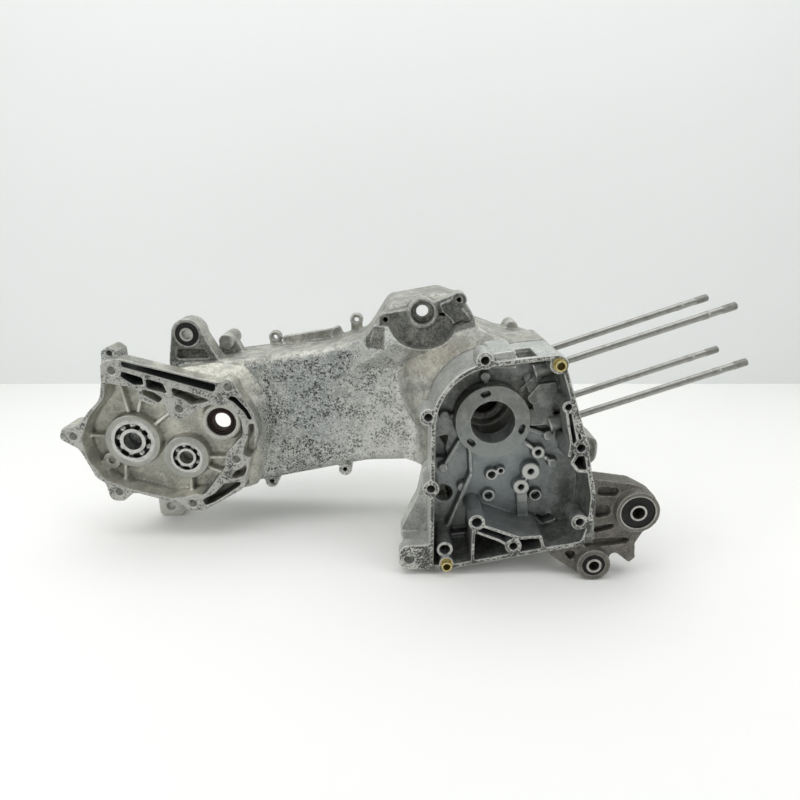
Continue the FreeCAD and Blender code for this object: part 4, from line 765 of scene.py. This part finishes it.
    def make(self) -> bpy.types.Material:
        """Build the material.

        Returns:
            The material of the left casting.
        """
        shader = Shader("left_casting_finish")
        graph = shader.graph
        wall = shader.effect(Effect.cast_skin(), Light=self.wall_light, Base=self.wall_base,
                             Dark=self.wall_dark, Tint=self.wall_blue, Tinting=0.5, Mottle=0.55,
                             Specks=1.0, Grain=1.2)
        wear_and_shade = shader.effect(Effect.edge_wear_and_shade(), Wear=0.5, Grime=0.6)
        # Edges lightened: worn bright metal and painted edge highlights. Corners darkened in the speck
        # colour: painted shade.
        colour = graph.mix(wear_and_shade.outputs["Edge"], self._cast_colour(shader, wall), self.bright)
        colour = graph.mix(wear_and_shade.outputs["Corner"], colour, self.wall_dark)
        square = shader.among(Facing(RIGHT), Facing(LEFT))
        joint = shader.inside(*self.gear_joint, square)
        cover = shader.inside(*self.belt_joint, square)
        boss = shader.inside(*self.bearing_bosses, self.boss_share, square)
        joints = graph.largest(joint, cover)
        colour = graph.mix(joints, colour, self.face)
        colour = graph.mix(boss, colour, self.boss_face)
        colour = graph.mix(shader.inside(*self.seal_boss, self.seal_boss_share), colour, self.face)
        dirty = shader.among(self.dirty_top, self.least_dirt)
        amount = graph.blend(dirty, self.scraps_clean, self.scraps_dirty)
        scraps = shader.effect(Effect.joint_scraps(), Amount=amount).outputs["Mask"]
        scraps = graph.product(scraps, joints, self.scraps_share)
        scraps = graph.product(scraps, graph.inverse(graph.product(wear_and_shade.outputs["Edge"], self.rubbed_off)))
        colour = graph.mix(scraps, colour, self.scraps)
        face = graph.largest(joint, cover, boss)
        rough = graph.blend(face, wall.outputs["Roughness"], self.face_roughness)
        rough = graph.blend(scraps, rough, self.scraps_roughness)
        metallic = graph.blend(scraps, self.metal, self.scraps_metal)
        height = graph.blend(face, wall.outputs["Height"], scraps)
        return shader.finish(colour, metallic, rough, height, self.relief)


@dataclass(frozen=True)
class RightCastingFinish:
    """Darker inside, pale outside and brown-grey arm of the right half."""

    inside_light: Colour = srgb(176, 178, 174)
    inside_base: Colour = srgb(108, 110, 105)
    inside_dark: Colour = srgb(46, 48, 46)
    inside_blue: Colour = srgb(104, 113, 119)
    # Lighter, bluish tone of the chamber floor's middle: a tint with painted sheen.
    floor_tint_and_sheen: Colour = srgb(156, 163, 166)
    outside_light: Colour = srgb(214, 215, 211)
    outside_base: Colour = srgb(174, 177, 174)
    outside_dark: Colour = srgb(104, 100, 92)
    arm_light: Colour = srgb(128, 124, 115)
    arm_base: Colour = srgb(90, 88, 82)
    arm_dark: Colour = srgb(44, 42, 40)
    flange: Colour = srgb(134, 137, 132)
    # Bright metal of worn edges and pump boss faces, also painted edge highlights.
    bright: Colour = srgb(214, 214, 208)
    face: Colour = srgb(196, 196, 190)
    scraps: Colour = srgb(70, 72, 69)

    room_walls: Zones = (
        Side((-59.2, 0.0, 0.0), FRONT),
        Side((-14.0, 0.0, 64.5), (0.12, 0.0, -1.0)),
        Side((70.7, 0.0, 24.3), (-0.9455, 0.0, -0.3256)),
        Side((52.0, 0.0, -123.5), (-0.204, 0.0, 0.979)),
        Side((0.0, 38.5, 0.0), RIGHT))
    room_arc: Zones = (Drum(0.5, 5.3, 59.8), Side((0.5, 0.0, 0.0), FRONT), Side((0.0, 0.0, 5.3), DOWN))
    floor_tint_and_sheen_zone: Zone = Drum(16.0, -62.0, 52.0, 46.0)
    arm_reach: Zones = (Side((94.5, 0.0, -60.0), (1.0, 0.0, 0.12), 1.5),
                        Box((50.0, -38.0, -170.0), (170.0, -11.5, -120.0), 1.5))
    arm_back: Zone = Side((0.0, -5.5, 0.0), RIGHT, 2.0)
    room_front: Zone = Side((93.0, 0.0, 0.0), REAR)
    arm_ears: Zone = Side((0.0, -28.8, 0.0), RIGHT, 0.4)
    flange_ring: Zones = (Level(Plane.FLANGE), Drum(0.0, 0.0, 38.0))
    pump_bosses: Zones = (Box((-6.0, 5.0, -92.0), (58.0, 15.0, -28.0), 1.0), Facing(RIGHT, 0.8, 0.97))
    cover_joint: Zones = (Level(Plane.COVER_JOINT), Facing(RIGHT))
    foot: Zone = Side((-62.0, 0.0, 0.0), REAR, 4.0)

    floor_tint_and_sheen_share: float = 0.6
    arm_wear_and_highlight: float = 0.3
    flange_share: float = 0.45
    pump_share: float = 0.75
    chamber_scraps: float = 0.7
    foot_scraps: float = 0.68
    rubbed_off: float = 1.5
    face_roughness: float = 0.3
    scraps_roughness: float = 0.7
    metal: float = 0.72
    arm_metal: float = 0.35
    scraps_metal: float = 0.0
    relief: float = 0.14

    def make(self) -> bpy.types.Material:
        """Build the material.

        Returns:
            The material of the right casting.
        """
        shader = Shader("right_casting_finish")
        graph = shader.graph
        skin = Effect.cast_skin()
        inside = shader.effect(skin, Light=self.inside_light, Base=self.inside_base, Dark=self.inside_dark,
                               Tint=self.inside_blue, Tinting=0.25, Mottle=0.85, Specks=0.2, Grain=0.5)
        outside = shader.effect(skin, Light=self.outside_light, Base=self.outside_base,
                                Dark=self.outside_dark, Mottle=0.8, Specks=0.4, Grain=0.8)
        arm = shader.effect(skin, Light=self.arm_light, Base=self.arm_base, Dark=self.arm_dark,
                            Mottle=0.7, Specks=0.5, Grain=1.0)
        room = graph.product(shader.inside(*self.room_walls), shader.among(*self.room_arc))
        # Painted sheen with a bluish tint in the middle of the chamber floor.
        floor_tint_and_sheen = shader.inside(self.floor_tint_and_sheen_zone, self.floor_tint_and_sheen_share)
        chamber = graph.mix(floor_tint_and_sheen, inside.outputs["Color"], self.floor_tint_and_sheen)
        colour = graph.mix(room, outside.outputs["Color"], chamber)
        beyond_room = graph.inverse(shader.inside(room, self.room_front))
        arm_web = shader.inside(shader.among(*self.arm_reach), self.arm_back, beyond_room)
        arm_zone = shader.among(arm_web, self.arm_ears)
        colour = graph.mix(arm_zone, colour, arm.outputs["Color"])
        wear_and_shade = shader.effect(Effect.edge_wear_and_shade(), Wear=0.78, Grime=0.7)
        # Edges lightened: worn bright metal and painted edge highlights, less on the arm. Corners darkened:
        # painted shade.
        edges = graph.product(wear_and_shade.outputs["Edge"], graph.blend(arm_zone, 1.0, self.arm_wear_and_highlight))
        colour = graph.mix(edges, colour, self.bright)
        colour = graph.mix(wear_and_shade.outputs["Corner"], colour, self.inside_dark)
        colour = graph.mix(shader.inside(*self.flange_ring, self.flange_share), colour, self.flange)
        colour = graph.mix(shader.inside(*self.pump_bosses, self.pump_share), colour, self.bright)
        face = shader.inside(*self.cover_joint)
        colour = graph.mix(face, colour, self.face)
        amount = graph.blend(shader.inside(self.foot), self.chamber_scraps, self.foot_scraps)
        scraps = graph.product(shader.effect(Effect.joint_scraps(), Amount=amount).outputs["Mask"], face)
        scraps = graph.product(scraps, graph.inverse(graph.product(wear_and_shade.outputs["Edge"], self.rubbed_off)))
        colour = graph.mix(scraps, colour, self.scraps)
        rough = graph.blend(room, outside.outputs["Roughness"], inside.outputs["Roughness"])
        rough = graph.blend(face, rough, self.face_roughness)
        rough = graph.blend(scraps, rough, self.scraps_roughness)
        metallic = graph.blend(arm_zone, self.metal, self.arm_metal)
        metallic = graph.blend(scraps, metallic, self.scraps_metal)
        height = graph.blend(face, arm.outputs["Height"], scraps)
        return shader.finish(colour, metallic, rough, height, self.relief)


@dataclass(frozen=True)
class SteelFinish:
    """Ground or drawn steel with a light tarnish."""

    name: str
    base: Colour
    tarnish: Colour
    roughness: float
    tarnish_share: float
    clouds: Waves = Waves(160.0, 5.0, 0.65)
    scratches: Waves = Waves(1100.0, 3.0, 0.6)
    tarnish_band: Band = (0.45, 0.7)
    wear: float = 0.2
    grime: float = 0.4
    cloud_roughness: float = 0.18
    relief: float = 0.02

    def make(self) -> bpy.types.Material:
        """Build the material.

        Returns:
            The steel material.
        """
        shader = Shader(self.name)
        graph = shader.graph
        place = graph.place()
        cloud = graph.noise(place, self.clouds)
        fine = graph.noise(place, self.scratches)
        stain = graph.product(graph.step(cloud, self.tarnish_band), self.tarnish_share)
        colour = graph.mix(stain, self.base, self.tarnish)
        wear_and_shade = shader.effect(Effect.edge_wear_and_shade(), Wear=self.wear, Grime=self.grime)
        colour = graph.mix(wear_and_shade.outputs["Corner"], colour, self.tarnish)
        rough = graph.math("ADD", self.roughness, graph.product(cloud, self.cloud_roughness))
        return shader.finish(colour, 1.0, rough, fine, self.relief)


@dataclass(frozen=True)
class RubberFinish:
    """Matt moulded rubber with dust."""

    name: str
    base: Colour
    dust: Colour
    dust_share: float
    clouds: Waves = Waves(180.0, 5.0, 0.7)
    grain: Waves = Waves(1800.0, 2.0, 0.5)
    dust_band: Band = (0.45, 0.75)
    least_roughness: float = 0.5
    cloud_roughness: float = 0.3
    gloss: float = 0.35
    relief: float = 0.04

    def make(self) -> bpy.types.Material:
        """Build the material.

        Returns:
            The rubber material.
        """
        shader = Shader(self.name)
        graph = shader.graph
        place = graph.place()
        cloud = graph.noise(place, self.clouds)
        fine = graph.noise(place, self.grain)
        dusty = graph.product(graph.step(cloud, self.dust_band), self.dust_share)
        colour = graph.mix(dusty, self.base, self.dust)
        rough = graph.math("ADD", self.least_roughness, graph.product(cloud, self.cloud_roughness))
        shader.surface.inputs["Specular IOR Level"].default_value = self.gloss
        return shader.finish(colour, 0.0, rough, fine, self.relief)


@dataclass(frozen=True)
class BrassFinish:
    """Yellow passivated dowel, dulled in places."""

    base: Colour = srgb(232, 218, 156)
    dull: Colour = srgb(176, 158, 100)
    clouds: Waves = Waves(380.0, 5.0, 0.7)
    scratches: Waves = Waves(1500.0, 3.0, 0.6)
    dull_band: Band = (0.42, 0.66)
    least_roughness: float = 0.22
    cloud_roughness: float = 0.3
    relief: float = 0.05

    def make(self) -> bpy.types.Material:
        """Build the material.

        Returns:
            The yellow metal material.
        """
        shader = Shader("yellow_dowel_finish")
        graph = shader.graph
        place = graph.place()
        cloud = graph.noise(place, self.clouds)
        fine = graph.noise(place, self.scratches)
        colour = graph.mix(graph.step(cloud, self.dull_band), self.base, self.dull)
        rough = graph.math("ADD", self.least_roughness, graph.product(cloud, self.cloud_roughness))
        return shader.finish(colour, 1.0, rough, fine, self.relief)


def give_material(piece: bpy.types.Object, material: bpy.types.Material) -> None:
    """Give a piece one material.

    Args:
        piece: The object to dress.
        material: Its only material.
    """
    piece.data.materials.clear()
    piece.data.materials.append(material)
    for polygon in piece.data.polygons:
        polygon.material_index = 0


def new_piece(name: str, mesh: bpy.types.Mesh) -> bpy.types.Object:
    """Put a mesh in the scene under a name."""
    piece = bpy.data.objects.new(name, mesh)
    bpy.context.scene.collection.objects.link(piece)
    return piece


def applied_mesh(piece: bpy.types.Object) -> bpy.types.Mesh:
    """Mesh of a piece with its modifiers applied."""
    graph = bpy.context.evaluated_depsgraph_get()
    return bpy.data.meshes.new_from_object(piece.evaluated_get(graph))


@dataclass
class Casting:
    """A sand-soft version of one cast half, with rounded edges and inner corners."""

    node: str
    piece_name: str
    slot: str
    voxel: float = 1.1 * MM
    smooth_rounds: int = 3
    smooth_share: float = 0.5
    triangle_budget: int = 190000

    def build(self, material: bpy.types.Material) -> bpy.types.Object:
        """Round the node's mesh and put the result in its place.

        Args:
            material: Finish of the casting.

        Returns:
            The new piece.
        """
        source = frame["nodes"][self.node]
        rough = new_piece(self.piece_name + "_rough", source.data.copy())
        remesh = rough.modifiers.new("skin", "REMESH")
        remesh.mode = "VOXEL"
        remesh.voxel_size = self.voxel
        smooth = rough.modifiers.new("soften", "SMOOTH")
        smooth.factor = self.smooth_share
        smooth.iterations = self.smooth_rounds
        dense = applied_mesh(rough)
        bpy.data.objects.remove(rough)
        triangles = sum(len(polygon.vertices) - 2 for polygon in dense.polygons)
        piece = new_piece(self.piece_name, dense)
        if triangles > self.triangle_budget:
            thin = piece.modifiers.new("thin", "DECIMATE")
            thin.ratio = self.triangle_budget / triangles
            lean = applied_mesh(piece)
            piece.modifiers.clear()
            piece.data = lean
        for polygon in piece.data.polygons:
            polygon.use_smooth = True
        give_material(piece, material)
        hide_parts(self.node)
        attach(piece, "crankcase")
        LOG.info("%s: %d triangles before thinning", self.piece_name, triangles)
        return piece


@dataclass
class ThreadedStuds:
    """The four cylinder studs with rolled threads at both ends, in millimetres and degrees."""

    tilt: float = 19.0
    centre_across: float = 4.5
    centre_y: float = 39.0
    half_pattern: float = 28.5
    root: float = 56.5
    root_thread_end: float = 79.0
    root_runout: float = 0.4
    collar: tuple[float, float] = (215.0, 221.0)
    collar_bevel: float = 0.3
    tip_thread_start: float = 234.0
    tip_runout: float = 0.5
    tip: float = 248.0
    shank_radius: float = 3.5
    thread_radius: float = 3.9
    collar_radius: float = 3.8
    pitch: float = 1.25
    thread_depth: float = 0.62
    crest_cut: float = 1.25
    chamfer: float = 0.9
    segments: int = 28
    rings_per_turn: int = 8
    shank_step: float = 3.0
    look_ahead: float = 0.05

    def _threaded(self, place: float) -> bool:
        """Whether a place along the stud is inside a thread."""
        return place <= self.root_thread_end or place >= self.tip_thread_start

    def _radius(self, place: float, turn: float) -> float:
        """Radius of the stud's surface.

        Args:
            place: Distance along the stud's axis.
            turn: Share of a full turn round it.

        Returns:
            The radius in millimetres.
        """
        limit = min(self.thread_radius, self.thread_radius - self.chamfer + place - self.root,
                    self.thread_radius - self.chamfer + self.tip - place)
        if self._threaded(place):
            phase = (place / self.pitch - turn) % 1.0
            ridge = 1.0 - abs(2.0 * phase - 1.0)
            crest = min(1.0, ridge * self.crest_cut)
            return min(limit, self.thread_radius - self.thread_depth * (1.0 - crest))
        if self.collar[0] <= place <= self.collar[1]:
            return self.collar_radius
        return self.shank_radius

    def _places(self) -> list[float]:
        """Places along the axis where the surface has a ring of corners."""
        places = []
        place = self.root
        while place < self.tip:
            places.append(place)
            in_thread = self._threaded(place + self.look_ahead)
            place += self.pitch / self.rings_per_turn if in_thread else self.shank_step
        start, end = self.collar
        bends = [self.root_thread_end, self.root_thread_end + self.root_runout,
                 start - self.collar_bevel, start, end, end + self.collar_bevel,
                 self.tip_thread_start - self.tip_runout, self.tip]
        return sorted(set(places + bends))

    def _stud(self, shape: bmesh.types.BMesh, across: float, y: float) -> None:
        """Add one stud to a mesh."""
        tilt = math.radians(self.tilt)
        axis = Vector((math.cos(tilt), 0.0, math.sin(tilt)))
        square = Vector((-math.sin(tilt), 0.0, math.cos(tilt)))
        sideways = Vector(LEFT)
        base = square * across + sideways * y
        rings = []
        for place in self._places():
            ring = []
            for step in range(self.segments):
                turn = step / self.segments
                angle = 2.0 * math.pi * turn
                outward = square * math.cos(angle) + sideways * math.sin(angle)
                ring.append(shape.verts.new((base + axis * place + outward * self._radius(place, turn)) * MM))
            rings.append(ring)
        for low, high in zip(rings, rings[1:]):
            for step in range(self.segments):
                following = (step + 1) % self.segments
                shape.faces.new((low[step], high[step], high[following], low[following]))
        shape.faces.new(rings[0])
        shape.faces.new(list(reversed(rings[-1])))

    def build(self, material: bpy.types.Material) -> bpy.types.Object:
        """Make the studs and put them in the plain solids' place.

        Args:
            material: Finish of the steel.

        Returns:
            The new piece.
        """
        shape = bmesh.new()
        for across in (self.centre_across - self.half_pattern, self.centre_across + self.half_pattern):
            for y in (self.centre_y - self.half_pattern, self.centre_y + self.half_pattern):
                self._stud(shape, across, y)
        bmesh.ops.recalc_face_normals(shape, faces=shape.faces)
        mesh = bpy.data.meshes.new("threaded_studs")
        shape.to_mesh(mesh)
        shape.free()
        for polygon in mesh.polygons:
            polygon.use_smooth = len(polygon.vertices) == 4
        piece = new_piece("threaded_studs", mesh)
        give_material(piece, material)
        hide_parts("cylinder_studs")
        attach(piece, "crankcase")
        return piece


@dataclass
class StudioCamera:
    """Camera at the photograph's viewing angle, placed in millimetres."""

    place: Point = (-90.3, -569.0, 196.7)
    pitch_down: float = 17.0
    focal_pixels: float = 620.0
    frame_pixels: float = 800.0
    sensor: float = 36.0
    nearest: float = 0.01
    farthest: float = 20.0

    def build(self) -> bpy.types.Object:
        """Create the camera and make it the scene's camera.

        Returns:
            The camera object.
        """
        data = bpy.data.cameras.new("photo_camera")
        data.sensor_width = self.sensor
        data.lens = self.sensor * self.focal_pixels / self.frame_pixels
        data.clip_start = self.nearest
        data.clip_end = self.farthest
        camera = bpy.data.objects.new("photo_camera", data)
        camera.location = Vector(self.place) * MM
        camera.rotation_euler = (math.radians(90.0 - self.pitch_down), 0.0, 0.0)
        bpy.context.scene.collection.objects.link(camera)
        bpy.context.scene.camera = camera
        return camera


@dataclass(frozen=True)
class Lamp:
    """Soft rectangular lamp: where it hangs, where it points and its size in metres, and its watts."""

    name: str
    place: Point
    target: Point
    size: tuple[float, float]
    power: float

    def hang(self) -> None:
        """Put the lamp in the scene."""
        data = bpy.data.lights.new(self.name, "AREA")
        data.shape = "RECTANGLE"
        data.size, data.size_y = self.size
        data.energy = self.power
        lamp = bpy.data.objects.new(self.name, data)
        lamp.location = self.place
        lamp.rotation_euler = (Vector(self.target) - Vector(self.place)).to_track_quat("-Z", "Y").to_euler()
        bpy.context.scene.collection.objects.link(lamp)


@dataclass
class Studio:
    """Pale table and backdrop with soft light from above and from the sides, in metres."""

    floor_z: float = -151.3 * MM
    wall_y: float = 686.0 * MM
    wall_height: float = 4.0
    reach: float = 6.0
    floor_colour: Colour = srgb(241, 241, 239)
    wall_colour: Colour = srgb(230, 232, 231)
    stage_roughness: float = 0.6
    stage_gloss: float = 0.1
    fill_strength: float = 0.42
    seen_strength: float = 1.0
    lamps: tuple[Lamp, ...] = (
        Lamp("top_light", (-0.1, 0.1, 1.25), (-0.1, 0.05, 0.0), (2.2, 1.3), 17.0),
        Lamp("left_light", (-1.3, -0.7, 0.6), (-0.1, 0.0, 0.0), (0.9, 0.9), 7.0),
        Lamp("right_light", (1.2, -0.7, 0.7), (0.0, 0.0, 0.0), (0.9, 0.9), 5.0))

    def _plane(self, name: str, corners: Sequence[Point], colour: Colour) -> None:
        """Flat stage surface.

        Args:
            name: Name of the surface.
            corners: Its four corners.
            colour: Its colour.
        """
        mesh = bpy.data.meshes.new(name)
        mesh.from_pydata(corners, [], [(0, 1, 2, 3)])
        piece = new_piece(name, mesh)
        shader = Shader(name + "_finish")
        shader.finish(colour, 0.0, self.stage_roughness)
        shader.surface.inputs["Specular IOR Level"].default_value = self.stage_gloss
        piece.data.materials.append(shader.material)

    def _background(self, graph: Graph, strength: float) -> Socket:
        """Even light in the backdrop's colour."""
        made = graph.node("ShaderNodeBackground")
        made.inputs["Color"].default_value = (*self.wall_colour, 1.0)
        made.inputs["Strength"].default_value = strength
        return made.outputs[0]

    def _world(self) -> None:
        """Dim even light all round, at full strength for the camera and through clear surfaces."""
        world = bpy.data.worlds.new("studio")
        bpy.context.scene.world = world
        world.use_nodes = True
        tree = world.node_tree
        tree.nodes.clear()
        graph = Graph(tree)
        path = graph.node("ShaderNodeLightPath")
        choose = graph.node("ShaderNodeMixShader")
        seen = graph.largest(path.outputs["Is Camera Ray"], path.outputs["Is Transmission Ray"])
        graph.feed(choose.inputs[0], seen)
        graph.feed(choose.inputs[1], self._background(graph, self.fill_strength))
        graph.feed(choose.inputs[2], self._background(graph, self.seen_strength))
        output = graph.node("ShaderNodeOutputWorld")
        graph.feed(output.inputs["Surface"], choose.outputs[0])

    def build(self) -> None:
        """Set the stage, the lamps and the plain view transform."""
        low, far, wide = self.floor_z, self.wall_y, self.reach
        high = low + self.wall_height
        floor = [(-wide, -wide, low), (wide, -wide, low), (wide, far, low), (-wide, far, low)]
        backdrop = [(-wide, far, low), (wide, far, low), (wide, far, high), (-wide, far, high)]
        self._plane("floor", floor, self.floor_colour)
        self._plane("backdrop", backdrop, self.wall_colour)
        for lamp in self.lamps:
            lamp.hang()
        self._world()
        bpy.context.scene.view_settings.view_transform = "Standard"


class Dressing:
    """Finishes of the studs and of the nodes that keep their own solid."""

    def __init__(self) -> None:
        """Make each finish once."""
        bearing = SteelFinish("bearing_steel_finish", srgb(188, 188, 185), srgb(96, 92, 84),
                              roughness=0.2, tarnish_share=0.4)
        steel = SteelFinish("tarnished_steel_finish", srgb(178, 177, 172), srgb(88, 80, 70),
                            roughness=0.3, tarnish_share=0.5)
        stud = SteelFinish("stud_steel_finish", srgb(158, 158, 154), srgb(96, 93, 86),
                           roughness=0.32, tarnish_share=0.4)
        cage = RubberFinish("cage_finish", srgb(24, 24, 25), srgb(70, 70, 68), dust_share=0.2)
        rubber = RubberFinish("bush_rubber_finish", srgb(17, 17, 17), srgb(72, 68, 62), dust_share=0.25)
        seal = RubberFinish("seal_rubber_finish", srgb(42, 27, 24), srgb(84, 66, 58), dust_share=0.3)
        sheet = RubberFinish("jointing_finish", srgb(34, 34, 34), srgb(90, 88, 82), dust_share=0.3)
        self.stud = stud.make()
        plain_metal = steel.make()
        self.by_slot = {
            "bearing_steel": bearing.make(), "bright_steel": plain_metal, "cast_aluminium": plain_metal,
            "dark_cage": cage.make(), "black_rubber": rubber.make(), "seal_rubber": seal.make(),
            "gasket_paper": sheet.make(), "yellow_brass": BrassFinish().make(),
        }

    def dress(self) -> None:
        """Give every plain node the finish of its material slot."""
        for row in frame["record"]["subparts"]:
            piece = frame["nodes"][row["node"]]
            if row["material_slot"] in self.by_slot:
                give_material(piece, self.by_slot[row["material_slot"]])


def main() -> None:
    """Build every class in order and report each piece."""
    logging.basicConfig(level=logging.INFO, format="%(message)s")
    Studio().build()
    StudioCamera().build()
    dressing = Dressing()
    dressing.dress()
    ThreadedStuds().build(dressing.stud)
    left = Casting("left_crankcase", "left_casting", "cast_aluminium")
    right = Casting("right_crankcase", "right_casting", "dark_cast_aluminium", voxel=0.9 * MM)
    for casting, finish in ((left, LeftCastingFinish()), (right, RightCastingFinish())):
        piece = casting.build(finish.make())
        LOG.info("%s: %d polygons", piece.name, len(piece.data.polygons))


if __name__ == "__main__":
    main()
